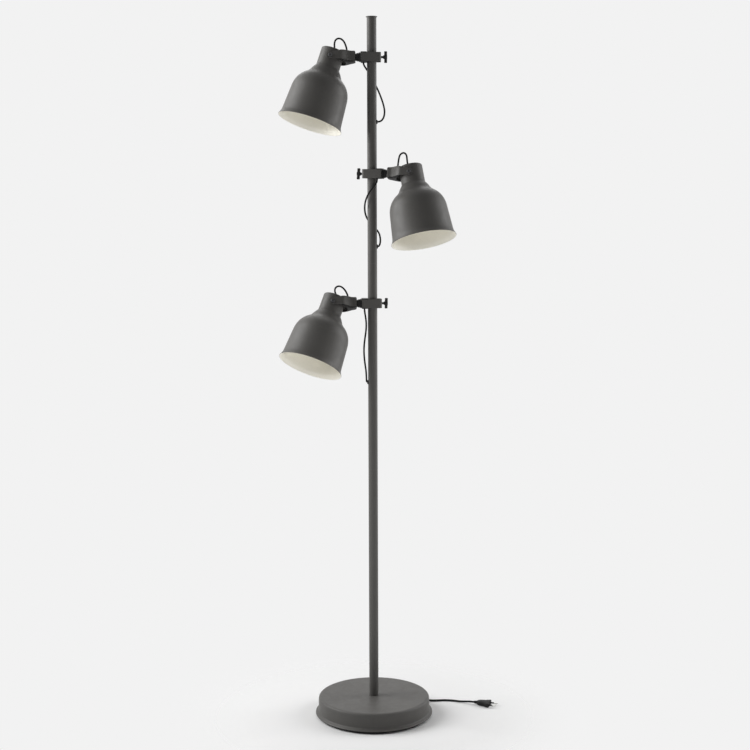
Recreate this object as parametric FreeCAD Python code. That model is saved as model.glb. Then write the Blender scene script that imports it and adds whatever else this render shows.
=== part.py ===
import FreeCAD
import Part
import math
import os

from FreeCAD import Vector

os.makedirs("parts", exist_ok=True)

# Tree floor lamp: three bell shades on clamps that slide on one pole.
# Lengths are in millimetres. The origin is the middle of the base on the floor, +Z runs up the pole,
# +X is to the right as the lamp is seen, and +Y points away from the viewer.

# Driving dimensions
HEIGHT = 1760.0
POLE_R = 11.75
POLE_WALL = 1.5
BASE_R = 150.0
BASE_H = 49.5
BASE_BODY_R = 142.0
SHEET = 1.2
POLE_JOINTS = (640.0, 1160.0)
WEIGHT_R = 128.0
WEIGHT_TOP = BASE_H - SHEET
WEIGHT_BOTTOM = 28.0
NIPPLE_R = 6.5
NIPPLE_BORE = 5.0
NIPPLE_FOOT = 17.0

# One lamp head: height of its clamp, heading of its arm about the pole, roll of the arm about its own
# axis, tilt of the shade from hanging straight down, height of its hole in the pole and its side, turn
# of the wing knob
LAMPS = {
    "top": dict(z=1662.0, heading=180.0, roll=10.5, tilt=17.7, hole_z=1506.0, hole_side=1, wing=82.0),
    "middle": dict(z=1380.0, heading=-13.0, roll=-14.5, tilt=13.2, hole_z=1201.0, hole_side=1, wing=72.0),
    "bottom": dict(z=1060.0, heading=184.0, roll=22.8, tilt=20.2, hole_z=862.0, hole_side=-1, wing=65.0),
}

# Clamp, in its own frame: u outwards along the arm, v sideways, w up, from the pole's axis
RING_BACK = -23.0
RING_FRONT = 27.0
RING_W = 32.0
RING_H = 22.5
RING_WALL = 2.0
LINER_R = 13.0
LINER_BORE = 11.80
LINER_H = 20.0
SADDLE_R = 13.05
BLOCK_H = 24.0
SCREW_R = 3.0
SCREW_TIP = -15.05
KNOB_END = -38.0
BOLT_R = 5.0
BOLT_BORE = 3.2
FIT = 0.05
SWIVEL_FACE = RING_FRONT + 0.06
WING_HALF = 14.0
WING_T = 7.0

# Arm and shade
PIVOT_U = 100.0
PIVOT_W = -3.0
ARM_SHEET = 1.8
ARM_ROOT_U = 39.6
ARM_ROOT_HALF = 13.0
ARM_TOP = 13.2
ARM_LOW = -7.8
TINE_HALF = 32.0
TINE_END_R = 8.5
NECK_CLEAR = 36.6
NECK_R = 29.0
NECK_TOP = 21.5
SHADE_LENGTH = 190.5
RIM_R = 80.5
PIN_R = 2.5
LEAD_HOLE_X = -2.0
LOOP_ROOT_U = 60.2

# Leads and mains cord
LEAD_R = 1.5
CORD_R = 2.5
CORD_SIDES = 6
LEAD_SPOTS = {"top": 240.0, "middle": 0.0, "bottom": 120.0}
LEAD_RING = 2.6
CORD_EXIT_Z = 21.0
GLAND_TIP_Y = 164.0
COIL_TURNS = 4.0
COIL_CLIMB = 0.5
COIL_INNER = 16.0
COIL_PITCH = 5.9
COIL_LAYER = 5.6
COIL_EASE = 0.25
COIL_Y = 202.0
COIL_QUARTERS = int(4 * (2 * COIL_TURNS + COIL_CLIMB))
FLOOR_Z = CORD_R + 0.2
PLUG_AT = Vector(262.0, 62.0, 6.85)
PLUG_HEADING = -20.0


def box(u0, u1, v0, v1, w0, w1):
    """A block between two corners."""
    return Part.makeBox(u1 - u0, v1 - v0, w1 - w0, Vector(u0, v0, w0))


def rod(radius, start, end):
    """A round bar between two points."""
    axis = Vector(*end) - Vector(*start)
    return Part.makeCylinder(radius, axis.Length, Vector(*start), axis)


def lathe(points):
    """A turned solid from (radius, height) points round Z, closed back to the first one."""
    wire = Part.makePolygon([Vector(r, 0, h) for r, h in points] + [Vector(points[0][0], 0, points[0][1])])
    return Part.Face(wire).revolve(Vector(0, 0, 0), Vector(0, 0, 1), 360)


def plate(points, height, base=0.0):
    """A prism standing on an outline of (x, y) points."""
    corners = [Vector(x, y, base) for x, y in points]
    return Part.Face(Part.makePolygon(corners + corners[:1])).extrude(Vector(0, 0, height))


def hexagon(corner_r):
    return [(corner_r * math.cos(math.radians(60 * i)), corner_r * math.sin(math.radians(60 * i)))
            for i in range(6)]


def arc_route(points, name, limit, end_share):
    """Straight runs joined by tangent arcs, each as large as its two runs allow.

    end_share is how much of the first and the last run may be taken up by an arc.
    """
    pts = [Vector(*p) for p in points]
    edges = []
    radii = []
    start = pts[0]
    for i, (before, corner, after) in enumerate(zip(pts, pts[1:], pts[2:])):
        into = (corner - before).normalize()
        out = (after - corner).normalize()
        half_turn = into.getAngle(out) / 2
        back = (corner - before).Length * (end_share if i == 0 else 0.45)
        ahead = (after - corner).Length * (end_share if i == len(pts) - 3 else 0.45)
        reach = min(back, ahead)
        radii.append(reach / math.tan(half_turn))
        first = corner - into * reach
        last = corner + out * reach
        towards = (first + last) * 0.5 - corner
        depth = radii[-1] / math.cos(half_turn) - radii[-1]
        middle = corner + towards.normalize() * depth
        edges.append(Part.LineSegment(start, first).toShape())
        edges.append(Part.Arc(first, middle, last).toShape())
        start = last
    edges.append(Part.LineSegment(start, pts[-1]).toShape())
    wire = Part.Wire(edges)
    print(name, "length %.1f" % wire.Length, "least radius %.1f (limit %.1f)" % (min(radii), limit))
    return wire


def faceted_tube(wire, radius, start, direction, name):
    """A tube with a many-sided section along a wire, checked against section times length."""
    side = direction.cross(Vector(0, 0, 1))
    if side.Length < 0.5:
        side = Vector(1, 0, 0)
    side.normalize()
    up = direction.cross(side).normalize()
    corners = []
    for i in range(CORD_SIDES + 1):
        angle = 2 * math.pi * (i % CORD_SIDES) / CORD_SIDES
        corners.append(start + side * radius * math.cos(angle) + up * radius * math.sin(angle))
    tube = wire.makePipeShell([Part.makePolygon(corners)], True, False)
    section = CORD_SIDES / 2 * math.sin(2 * math.pi / CORD_SIDES) * radius ** 2
    print(name, "volume / (section x length) %.4f" % (tube.Volume / (section * wire.Length)))
    return tube


def cord_tube(points, radius, name, end_share=0.45):
    """A cord's free stretch."""
    wire = arc_route(points, name, 3 * 2 * radius, end_share)
    start = Vector(*points[0])
    return faceted_tube(wire, radius, start, (Vector(*points[1]) - start).normalize(), name)


def save(name, shape):
    shape.exportStep("parts/" + name + ".step")


def placed(shape, *steps):
    """The shape moved by the product of the given placements."""
    move = FreeCAD.Placement()
    for step in steps:
        move = move.multiply(step)
    copy = shape.copy()
    copy.Placement = move.multiply(copy.Placement)
    return copy


def shift(x, y, z):
    return FreeCAD.Placement(Vector(x, y, z), FreeCAD.Rotation())


def turn(axis, angle):
    return FreeCAD.Placement(Vector(), FreeCAD.Rotation(axis, angle))


X_AXIS = Vector(1, 0, 0)
Y_AXIS = Vector(0, 1, 0)
Z_AXIS = Vector(0, 0, 1)


def clamp_place(lamp):
    return [shift(0, 0, lamp["z"]), turn(Z_AXIS, lamp["heading"])]


def arm_place(lamp):
    return clamp_place(lamp) + [turn(X_AXIS, lamp["roll"])]


def shade_place(lamp):
    return arm_place(lamp) + [shift(PIVOT_U, 0, PIVOT_W), turn(Y_AXIS, -lamp["tilt"])]


# Base: pressed cover, cast weight under its top, black plate that stands on the floor
def base_cover():
    shoulder = 8.0
    top = BASE_H
    wall_foot = (BASE_BODY_R + 0.8, 13.0)
    outer = [(6.6, top), (BASE_BODY_R - shoulder, top)]
    for step in (45, 90):
        a = math.radians(step)
        outer.append((BASE_BODY_R - shoulder * (1 - math.sin(a)), top - shoulder * (1 - math.cos(a))))
    lip = [wall_foot, (BASE_R - 5.5, 9.6), (BASE_R, 8.0), (BASE_R, 5.6), (BASE_R - 1.8, 5.6)]
    inner = [(BASE_BODY_R - 0.4, 10.0), (BASE_BODY_R - SHEET, top - shoulder),
             (BASE_BODY_R - shoulder * 0.55, top - SHEET), (6.6, top - SHEET)]
    cover = lathe(outer + lip + inner)
    return cover.cut(rod(4.6, (0, BASE_BODY_R - 6, CORD_EXIT_Z), (0, BASE_BODY_R + 6, CORD_EXIT_Z)))


def base_weight():
    bore = NIPPLE_R + 0.1
    return lathe([(bore, WEIGHT_BOTTOM), (WEIGHT_R - 3, WEIGHT_BOTTOM), (WEIGHT_R, WEIGHT_BOTTOM + 3),
                  (WEIGHT_R, WEIGHT_TOP), (bore, WEIGHT_TOP)])


def bottom_plate():
    rim = BASE_R - 8.0
    return lathe([(0, 0), (rim, 0), (rim, 5.5), (0, 5.5)])


def base_nipple():
    tube = lathe([(NIPPLE_BORE, NIPPLE_FOOT), (NIPPLE_R, NIPPLE_FOOT), (NIPPLE_R, BASE_H + 22),
                  (NIPPLE_BORE, BASE_H + 22)])
    nut = plate(hexagon(13.86), 6.0, WEIGHT_BOTTOM - 7.5).cut(rod(NIPPLE_R - 0.5, (0, 0, 15), (0, 0, 40)))
    washer = lathe([(NIPPLE_R - 0.5, WEIGHT_BOTTOM - 1.5), (16, WEIGHT_BOTTOM - 1.5), (16, WEIGHT_BOTTOM),
                    (NIPPLE_R - 0.5, WEIGHT_BOTTOM)])
    return tube.fuse([nut, washer]).removeSplitter()


def terminal_block():
    """Screw terminals in a row, on the bottom plate, where the cord meets the three leads."""
    block = box(30, 62, 40, 58, 5.5, 18)
    for i in range(3):
        u = 35.5 + 10.5 * i
        block = block.cut(rod(2.2, (u, 49, 12), (u, 49, 18)))
    return block


# Pole: three tubes that butt together over sleeves
def pole_tube(bottom, top, holes):
    tube = lathe([(POLE_R - POLE_WALL, bottom), (POLE_R, bottom), (POLE_R, top), (POLE_R - POLE_WALL, top)])
    for z, side in holes:
        tube = tube.cut(rod(3.4, (side * 5, 0, z), (side * 15, 0, z)))
    return tube


def pole_inserts():
    fit_r = POLE_R - POLE_WALL - 0.03
    foot = lathe([(NIPPLE_R + 0.02, BASE_H + 0.5), (fit_r, BASE_H + 0.5), (fit_r, BASE_H + 25),
                  (NIPPLE_R + 0.02, BASE_H + 25)])
    sleeves = [lathe([(fit_r - 1.5, z - 24), (fit_r, z - 24), (fit_r, z + 24), (fit_r - 1.5, z + 24)])
               for z in POLE_JOINTS]
    return Part.makeCompound([foot] + sleeves)


def pole_cap():
    top = HEIGHT - 2.0
    return lathe([(0, top - 9), (POLE_R - POLE_WALL - 0.05, top - 9), (POLE_R - POLE_WALL - 0.05, top),
                  (POLE_R + 1.05, top), (POLE_R + 1.05, HEIGHT - 0.7), (POLE_R + 0.3, HEIGHT), (0, HEIGHT)])


def hole_grommets():
    """Saddle-shaped flange on the pole and a sleeve through its wall, one at each lead's hole."""
    pieces = []
    for lamp in LAMPS.values():
        side = lamp["hole_side"]
        z = lamp["hole_z"]
        flange = rod(4.8, (side * 8, 0, z), (side * (POLE_R + 1.5), 0, z))
        flange = flange.cut(Part.makeCylinder(POLE_R + 0.01, 14, Vector(0, 0, z - 7)))
        sleeve = rod(3.35, (side * 9.6, 0, z), (side * (POLE_R + 0.6), 0, z))
        bore = rod(LEAD_R + 0.12, (side * 8, 0, z), (side * 15, 0, z))
        pieces.append(flange.fuse(sleeve).cut(bore))
    return Part.makeCompound(pieces)


def pole_leads():
    """The leads bend down from their grommets, run down the pole and come out under the nipple."""
    pieces = []
    for name, lamp in LAMPS.items():
        angle = math.radians(LEAD_SPOTS[name])
        down = Vector(LEAD_RING * math.cos(angle), LEAD_RING * math.sin(angle), 0)
        z = lamp["hole_z"]
        start = Vector(lamp["hole_side"] * 9.4, 0, z)
        corner = Vector(down.x, down.y, z)
        foot = Vector(down.x, down.y, 12.0)
        into = (corner - start).normalize()
        bend = 4.0
        arc_end = corner - Vector(0, 0, bend)
        arc_start = corner - into * bend
        middle = corner + (into * -1 - Vector(0, 0, 1)) * (bend * (1 - math.sqrt(0.5)))
        wire = Part.Wire([Part.LineSegment(start, arc_start).toShape(),
                          Part.Arc(arc_start, middle, arc_end).toShape(),
                          Part.LineSegment(arc_end, foot).toShape()])
        pieces.append(faceted_tube(wire, LEAD_R, start, into, "pole_lead_" + name))
    return Part.makeCompound(pieces)


# Clamp pieces, drawn in the clamp's frame
def clamp_liner():
    """Split sleeve that grips the pole when the screw is tight."""
    half = LINER_H / 2
    sleeve = lathe([(LINER_BORE, -half), (LINER_R, -half), (LINER_R, half), (LINER_BORE, half)])
    return sleeve.cut(box(-1, 1, LINER_BORE - 2, LINER_R + 2, -half - 1, half + 1))


def rounded_block(u0, u1, half_v, half_w, radius):
    block = box(u0, u1, -half_v, half_v, -half_w, half_w)
    upright = [e for e in block.Edges if abs(e.Vertexes[0].Z - e.Vertexes[1].Z) > half_w]
    return block.makeFillet(radius, upright)


def clamp_ring():
    """Rectangular band round the pole, with a welded threaded bush for the screw."""
    outer = rounded_block(RING_BACK, RING_FRONT, RING_W / 2, RING_H / 2, 4.0)
    inner = rounded_block(RING_BACK + RING_WALL, RING_FRONT - RING_WALL, RING_W / 2 - RING_WALL, RING_H, 2.0)
    bush = rod(5.5, (RING_BACK + 1, 0, 0), (RING_BACK + 6, 0, 0))
    ring = outer.cut(inner).fuse(bush)
    ring = ring.cut(rod(SCREW_R + FIT, (RING_BACK - 1, 0, 0), (RING_BACK + 8, 0, 0)))
    return ring.cut(rod(BOLT_R + 0.3, (RING_FRONT - 4, 0, 0), (RING_FRONT + 1, 0, 0))).removeSplitter()


def clamp_block():
    """Saddle between liner and ring: it carries the arm's bolt and lets the lead out underneath."""
    half_v = RING_W / 2 - RING_WALL - 0.05
    block = box(3.0, RING_FRONT - RING_WALL, -half_v, half_v, -BLOCK_H / 2, BLOCK_H / 2)
    edges = [e for e in block.Edges if abs(e.Vertexes[0].Z - e.Vertexes[1].Z) > 5
             and e.Vertexes[0].X > 20]
    block = block.makeFillet(2.4, edges)
    block = block.cut(Part.makeCylinder(SADDLE_R, BLOCK_H + 2, Vector(0, 0, -BLOCK_H / 2 - 1)))
    block = block.cut(rod(BOLT_R + FIT, (10, 0, 0), (30, 0, 0)))
    block = block.cut(rod(8.2, (10, 0, 0), (17.6, 0, 0)))
    return block.cut(Part.makeCylinder(2.25, 14, Vector(20.5, 0, -14)))


def clamp_pad():
    """Shoe between the screw's tip and the liner."""
    shoe = box(SCREW_TIP + 0.02, -9.0, -9, 9, -8, 8)
    return shoe.cut(Part.makeCylinder(SADDLE_R, 20, Vector(0, 0, -10)))


def clamp_screw(wing_angle):
    """Threaded shank with a moulded two-wing knob."""
    shank = lathe([(0, SCREW_TIP), (SCREW_R - 0.5, SCREW_TIP), (SCREW_R, SCREW_TIP - 0.6), (SCREW_R, -32),
                   (0, -32)])
    shank.rotate(Vector(), Y_AXIS, 90)
    knob = lathe([(0, -28.5), (4.4, -28.5), (5.2, -31), (5.2, KNOB_END + 0.8), (4.4, KNOB_END),
                  (0, KNOB_END)])
    knob.rotate(Vector(), Y_AXIS, 90)
    tip = WING_HALF
    outline = [(-2.6, 4.0), (-3.4, tip - 1.6), (-2.2, tip), (2.2, tip), (3.4, tip - 1.6), (2.6, 4.0),
               (2.6, -4.0), (3.4, 1.6 - tip), (2.2, -tip), (-2.2, -tip), (-3.4, 1.6 - tip), (-2.6, -4.0)]
    wings = plate(outline, WING_T)
    wings.rotate(Vector(), Y_AXIS, -90)
    wings.translate(Vector(KNOB_END + WING_T + 0.3, 0, 0))
    screw = shank.fuse([knob, wings]).removeSplitter()
    screw.rotate(Vector(), X_AXIS, wing_angle)
    return screw


# Arm pieces, drawn in the arm's frame, which rolls about u
def arm_bolt():
    """Hollow bolt with a head inside the arm and a lock nut inside the block."""
    tube = rod(BOLT_R, (13.9, 0, 0), (43, 0, 0))
    head = plate(hexagon(7.6), 3.5)
    head.rotate(Vector(), Y_AXIS, 90)
    nut = placed(head, shift(14.0, 0, 0))
    head = placed(head, shift(41.4, 0, 0))
    bolt = tube.fuse([head, nut]).removeSplitter()
    bolt = bolt.cut(rod(BOLT_BORE, (10, 0, 0), (50, 0, 0)))
    window = box(18.5, 23.5, -6, 6, -7, 0)
    return bolt.cut(window)


def plan_outline(inset):
    """The arm seen from above: narrow root, S-shaped flare, straight tines."""
    root = ARM_ROOT_HALF - inset
    wide = TINE_HALF - inset
    flare = [(ARM_ROOT_U + inset, root), (48, root)]
    for u, share in ((55, 0.14), (63, 0.50), (71, 0.86), (78, 1.0)):
        flare.append((u + inset * 0.45, root + (wide - root) * share))
    far = [(PIVOT_U + TINE_END_R + 1, wide)]
    half = flare + far
    return half + [(u, -v) for u, v in reversed(half)]


def across(points):
    """A prism along v on an outline of (u, w) points."""
    prism = plate(points, 80)
    prism.rotate(Vector(), X_AXIS, 90)
    prism.translate(Vector(0, 40, 0))
    return prism


def side_profile(high, low):
    """The arm seen from the side."""
    points = [(ARM_ROOT_U, low), (ARM_ROOT_U, high), (58, high), (76, high - 2.5),
              (PIVOT_U - 3, PIVOT_W + TINE_END_R), (PIVOT_U, PIVOT_W + TINE_END_R),
              (PIVOT_U, PIVOT_W - TINE_END_R), (PIVOT_U - 6, PIVOT_W - TINE_END_R), (81, low)]
    return across(points)


def yoke():
    """Folded steel arm: a root wall, a top web and two side walls that end in round tines."""
    outer = plate(plan_outline(0), 60, -30)
    inner = plate(plan_outline(ARM_SHEET), 60, ARM_TOP - ARM_SHEET - 60)
    side = side_profile(ARM_TOP, ARM_LOW)
    ends = rod(TINE_END_R, (PIVOT_U, -40, PIVOT_W), (PIVOT_U, 40, PIVOT_W))
    body = outer.common(side.fuse(ends)).cut(inner)
    neck_space = Part.makeCylinder(NECK_CLEAR, 60, Vector(PIVOT_U, 0, -30))
    slot = box(PIVOT_U - 60, PIVOT_U + 20, -(TINE_HALF - ARM_SHEET), TINE_HALF - ARM_SHEET, -30, 30)
    body = body.cut(neck_space.common(slot))
    body = body.cut(rod(PIN_R + FIT, (PIVOT_U, -40, PIVOT_W), (PIVOT_U, 40, PIVOT_W)))
    body = body.cut(rod(BOLT_R + 0.02, (30, 0, 0), (46, 0, 0)))
    return body.cut(Part.makeCylinder(LEAD_R + 0.6, 20, Vector(LOOP_ROOT_U, 0, 0))).removeSplitter()


def arm_shell():
    """Black moulding: the cone that turns against the clamp, and the belly that closes the arm below."""
    root = ARM_ROOT_U - 0.05
    cone = lathe([(BOLT_R + FIT, SWIVEL_FACE), (11.2, SWIVEL_FACE), (11.2, 31.0), (10.0, 31.8), (7.4, root),
                  (BOLT_R + FIT, root)])
    cone.rotate(Vector(), Y_AXIS, 90)
    gap = 0.15
    wall = 1.6
    top = ARM_LOW + 2.8
    rim = plate(plan_outline(ARM_SHEET + gap), 20, ARM_LOW - 0.1)
    rim_inner = plate(plan_outline(ARM_SHEET + gap + wall), 30, ARM_LOW - wall)
    bowl = plate(plan_outline(0.5), 20, ARM_LOW - 20.1)
    bottom = [(80, -12.5), (74, -15.2), (64, -16.2), (54, -14.4), (46, -11.8)]
    side = across([(ARM_ROOT_U, -9.4), (ARM_ROOT_U, top), (80, top)] + bottom)
    floor = [(u, w + wall) for u, w in bottom]
    hollow = across([(ARM_ROOT_U - 2, ARM_LOW), (ARM_ROOT_U - 2, 5), (90, 5), (90, ARM_LOW)] + floor)
    bowl_inner = plate(plan_outline(2.3), 30, -25)
    tray = rim.fuse(bowl).common(side).cut(rim_inner).cut(hollow.common(bowl_inner))
    tray = tray.cut(rod(8.0, (ARM_ROOT_U + 1.4, 0, 0), (ARM_ROOT_U + 6, 0, 0)))
    tray = tray.cut(Part.makeCylinder(NECK_CLEAR + 1.2, 60, Vector(PIVOT_U, 0, -40)))
    return tray.fuse(cone)


def shade():
    """Spun bell: closed neck, stepped shoulder, tall skirt and flared rim."""
    t = SHEET
    top = NECK_TOP
    end = NECK_TOP - SHADE_LENGTH
    outer = [(0, top), (NECK_R - 1.4, top), (NECK_R, top - 1.4), (NECK_R + 0.2, -26.2), (33.0, -28.8),
             (37.2, -36.0), (42.0, -45.0), (54.5, -56.0), (65.0, -70.0), (70.6, -88.0), (75.5, -157.0),
             (RIM_R, end + 1.0), (RIM_R, end)]
    inner = [(RIM_R - 1.6, end), (74.3, -157.0), (69.4, -88.0), (52.6, -56.0), (40.7, -46.0),
             (NECK_R - t, -28.4), (NECK_R - t, top - t), (0, top - t)]
    bell = lathe(outer + inner)
    bell = bell.cut(rod(PIN_R + 0.1, (0, -40, 0), (0, 40, 0)))
    return bell.cut(Part.makeCylinder(LEAD_R + 0.4, 10, Vector(LEAD_HOLE_X, 0, top - 5)))


def pivot_screws():
    """Screw with a flat round head outside each tine, and a washer between tine and neck."""
    pieces = []
    for side in (-1, 1):
        shank = rod(PIN_R, (0, side * 24.0, 0), (0, side * (TINE_HALF + 1), 0))
        head = rod(5.5, (0, side * (TINE_HALF + 0.1), 0), (0, side * (TINE_HALF + 3.0), 0))
        washer = rod(6.5, (0, side * (NECK_R + 0.25), 0), (0, side * (TINE_HALF - ARM_SHEET - 0.08), 0))
        pieces.append(shank.fuse([head, washer]).removeSplitter())
    return Part.makeCompound(pieces)


def neck_bridge():
    """Strip across the inside of the neck, with two tapped ears for the pivot screws."""
    half = 26.6
    thick = 2.0
    strip = box(-8, 8, -half, half, 12.0, 12.0 + thick)
    ears = [box(-8, 8, half - thick, half, -8, 13), box(-8, 8, -half, thick - half, -8, 13)]
    bridge = strip.fuse(ears).common(Part.makeCylinder(NECK_R - SHEET - 0.1, 60, Vector(0, 0, -30)))
    bridge = bridge.cut(rod(PIN_R + 0.02, (0, -40, 0), (0, 40, 0)))
    return bridge.cut(Part.makeCylinder(4.0, 10, Vector(0, 0, 8))).removeSplitter()


def lampholder():
    """Plastic holder under the bridge, with a deep socket that stands empty."""
    return lathe([(4.0, 11.9), (12.5, 11.9), (17.0, 6.0), (17.0, -6.0), (19.6, -10.0), (19.6, -36.0),
                  (17.6, -38.0), (13.6, -38.0), (13.6, -12.0), (4.0, -12.0)])


# Leads outside the lamp heads, as routes chosen from the photographed curves
LOOP_ROUTES = {
    "top": [(60.2, 0.0, 8.0), (60.5, 0.0, 19.5), (63.6, 0.6, 30.5), (68.2, 1.2, 40.0), (75.2, 1.5, 46.0),
            (83.2, 1.2, 46.6), (89.4, 0.7, 41.5), (91.2, 0.3, 31.5)],
    "middle": [(60.2, 0.0, 8.0), (60.4, 0.0, 20.0), (63.2, -0.9, 44.8), (67.6, -1.4, 50.9),
               (74.8, -1.5, 53.2), (82.0, -1.2, 50.9), (86.4, -0.7, 44.8), (88.8, -0.2, 33.0)],
    "bottom": [(60.2, 0.0, 8.0), (60.8, 0.0, 19.5), (64.6, -0.8, 30.0), (70.6, -1.4, 40.0),
               (78.4, -1.7, 46.2), (86.8, -1.4, 46.4), (93.0, -0.8, 40.5), (93.4, -0.3, 30.5)],
}

TAIL_ROUTES = {
    "top": [(-20.5, 0.0, 1654.0), (-20.5, 0.2, 1642.0), (-17.5, 7.0, 1629.5), (-9.0, 14.5, 1617.0),
            (3.0, 17.5, 1602.5), (14.0, 15.0, 1587.0), (21.5, 10.5, 1569.0), (28.0, 6.5, 1550.5),
            (31.8, 3.0, 1533.0), (30.0, 0.8, 1518.0), (24.0, 0.0, 1508.6), (16.2, 0.0, 1506.0),
            (9.6, 0.0, 1506.0)],
    "middle": [(19.97, -4.61, 1372.0), (19.7, -5.0, 1362.5), (14.6, -10.0, 1355.5), (6.0, -15.4, 1349.0),
               (-3.8, -16.8, 1339.0), (-11.8, -14.8, 1326.0), (-17.4, -9.6, 1311.0), (-19.0, -2.4, 1295.0),
               (-17.0, 6.0, 1280.0), (-11.0, 13.2, 1266.5), (-1.5, 17.2, 1255.0), (8.5, 16.2, 1245.0),
               (16.2, 10.8, 1235.5), (19.6, 4.4, 1225.0), (20.2, 0.6, 1212.0), (17.6, 0.0, 1203.6),
               (14.6, 0.0, 1201.0), (9.6, 0.0, 1201.0)],
    "bottom": [(-20.4, -1.4, 1052.0), (-20.0, -1.4, 1040.0), (-17.2, -1.0, 1025.0), (-15.6, -0.8, 1008.0),
               (-16.6, -0.6, 990.0), (-19.6, -0.4, 971.0), (-21.9, 0.2, 950.0), (-21.7, 0.0, 929.0),
               (-19.6, 0.2, 909.0), (-17.0, 0.0, 892.0), (-16.2, 0.1, 878.0), (-15.9, 0.0, 868.6),
               (-15.6, 0.0, 862.0), (-9.6, 0.0, 862.0)],
}


def cable_loop(name, lamp):
    """Lead from the arm's top over to the hole in the neck's top, in the arm's frame."""
    tilt = math.radians(lamp["tilt"])
    axis = Vector(-math.sin(tilt), 0, math.cos(tilt))
    across = Vector(math.cos(tilt), 0, math.sin(tilt))
    hole = Vector(PIVOT_U, 0, PIVOT_W) + across * LEAD_HOLE_X + axis * NECK_TOP
    points = LOOP_ROUTES[name] + [tuple(hole + axis * 4.5), tuple(hole - axis * 4.5)]
    return cord_tube(points, LEAD_R, "cable_loop_" + name)


# Mains cord: out at the base's rear, a coil behind the base, then the stretch that shows, then the plug
def coil_radius(turns):
    """The spiral runs in at a steady rate, eases round in the climb, and runs out again."""
    from_middle = turns - COIL_TURNS - COIL_CLIMB / 2
    return COIL_INNER + COIL_PITCH * (math.sqrt(from_middle ** 2 + COIL_EASE ** 2) - COIL_EASE)


def coil_point(q):
    """Place on the coil after q quarter turns, clockwise from its side next to the gland."""
    turns = q / 4.0
    share = min(max((turns - COIL_TURNS) / COIL_CLIMB, 0.0), 1.0)
    z = FLOOR_Z + COIL_LAYER * (share - math.sin(2 * math.pi * share) / (2 * math.pi))
    radius = coil_radius(turns)
    angle = math.pi - 2 * math.pi * turns
    return Vector(coil_radius(0) + radius * math.cos(angle), COIL_Y + radius * math.sin(angle), z)


def coil_tangent(q):
    """Heading of the coil there; its two ends point straight out of the wound part."""
    if q == 0:
        return Vector(0, 1, 0)
    if q == COIL_QUARTERS:
        return Vector(0, -1, 0)
    step = 0.02
    return (coil_point(q + step) - coil_point(q - step)).normalize()


def biarc(p0, t0, p1, t1):
    """Two arcs that join smoothly and run from p0 along t0 to p1 along t1."""
    v = p1 - p0
    s = t0 + t1
    a = 2 * (1 - t0.dot(t1))
    b = v.dot(s)
    reach = (-b + math.sqrt(b * b + a * v.dot(v))) / a
    q0 = p0 + t0 * reach
    q1 = p1 - t1 * reach
    joint = (q0 + q1) * 0.5
    edges = []
    for start, corner, end in ((p0, q0, joint), (joint, q1, p1)):
        chord = end - start
        lean = (corner - start).getAngle(chord)
        middle = (start + end) * 0.5
        rise = (corner - middle).normalize() * (chord.Length / 2 * math.tan(lean / 2))
        edges.append(Part.Arc(start, middle + rise, end).toShape())
    return edges


def cord_coil():
    """The wound length as one unbroken tube, with its ends straight for one diameter."""
    knots = [(coil_point(q), coil_tangent(q)) for q in range(COIL_QUARTERS + 1)]
    edges = [Part.LineSegment(knots[0][0] - knots[0][1] * 2 * CORD_R, knots[0][0]).toShape()]
    for (p0, t0), (p1, t1) in zip(knots, knots[1:]):
        edges += biarc(p0, t0, p1, t1)
    edges.append(Part.LineSegment(knots[-1][0], knots[-1][0] + knots[-1][1] * 2 * CORD_R).toShape())
    wire = Part.Wire(edges)
    start = knots[0][0] - knots[0][1] * 2 * CORD_R
    tube = faceted_tube(wire, CORD_R, start, knots[0][1], "cord_coil")
    points = wire.discretize(Number=700)
    skip = int(6 * CORD_R / (wire.Length / 700)) + 1
    pairs = ((p, q) for i, p in enumerate(points) for q in points[i + skip:])
    least = min((p - q).Length for p, q in pairs)
    print("cord_coil length %.1f, least gap to itself %.2f" % (wire.Length, least - 2 * CORD_R))
    return tube


def cord_gland():
    """Strain relief that grips the base's wall and tapers along the cord."""
    bore = CORD_R + 0.02
    wall = BASE_BODY_R
    body = lathe([(bore, wall - 5), (6.4, wall - 5), (6.4, wall - 2.2), (4.5, wall - 2.2), (4.5, wall + 1.2),
                  (6.6, wall + 1.2), (6.0, wall + 4.5), (4.8, wall + 6.0), (3.6, GLAND_TIP_Y),
                  (bore, GLAND_TIP_Y)])
    body.rotate(Vector(), X_AXIS, -90)
    body.translate(Vector(0, 0, CORD_EXIT_Z))
    return body


def lead_route():
    """From the gland's tip down to the coil's start."""
    return [(0, GLAND_TIP_Y, CORD_EXIT_Z), (0, 169.3, CORD_EXIT_Z), (0, 177.7, 16.1),
            (0, 182.5, 7.7), (0, 190.9, FLOOR_Z), (0, COIL_Y - 2 * CORD_R, FLOOR_Z)]


def run_route():
    """From the coil's end down to the floor, round the base and up into the plug."""
    side = 2 * coil_radius(0)
    top = FLOOR_Z + COIL_LAYER
    return [(side, COIL_Y - 2 * CORD_R, top), (side, 186.0, top), (80.6, 175.0, 6.4), (87.5, 164.5, 3.2),
            (98, 151.5, 2.7), (111, 135.0, 2.7), (122.5, 117, 2.7), (132.5, 98.5, 2.7), (147, 86.5, 2.7),
            (165.5, 85.5, 2.7), (185, 88.5, 2.7), (205, 86, 2.7), (223.5, 79.2, 2.7), (239.0, 71.4, 4.6),
            (251.66, 65.76, 6.85), tuple(PLUG_AT)]


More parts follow.
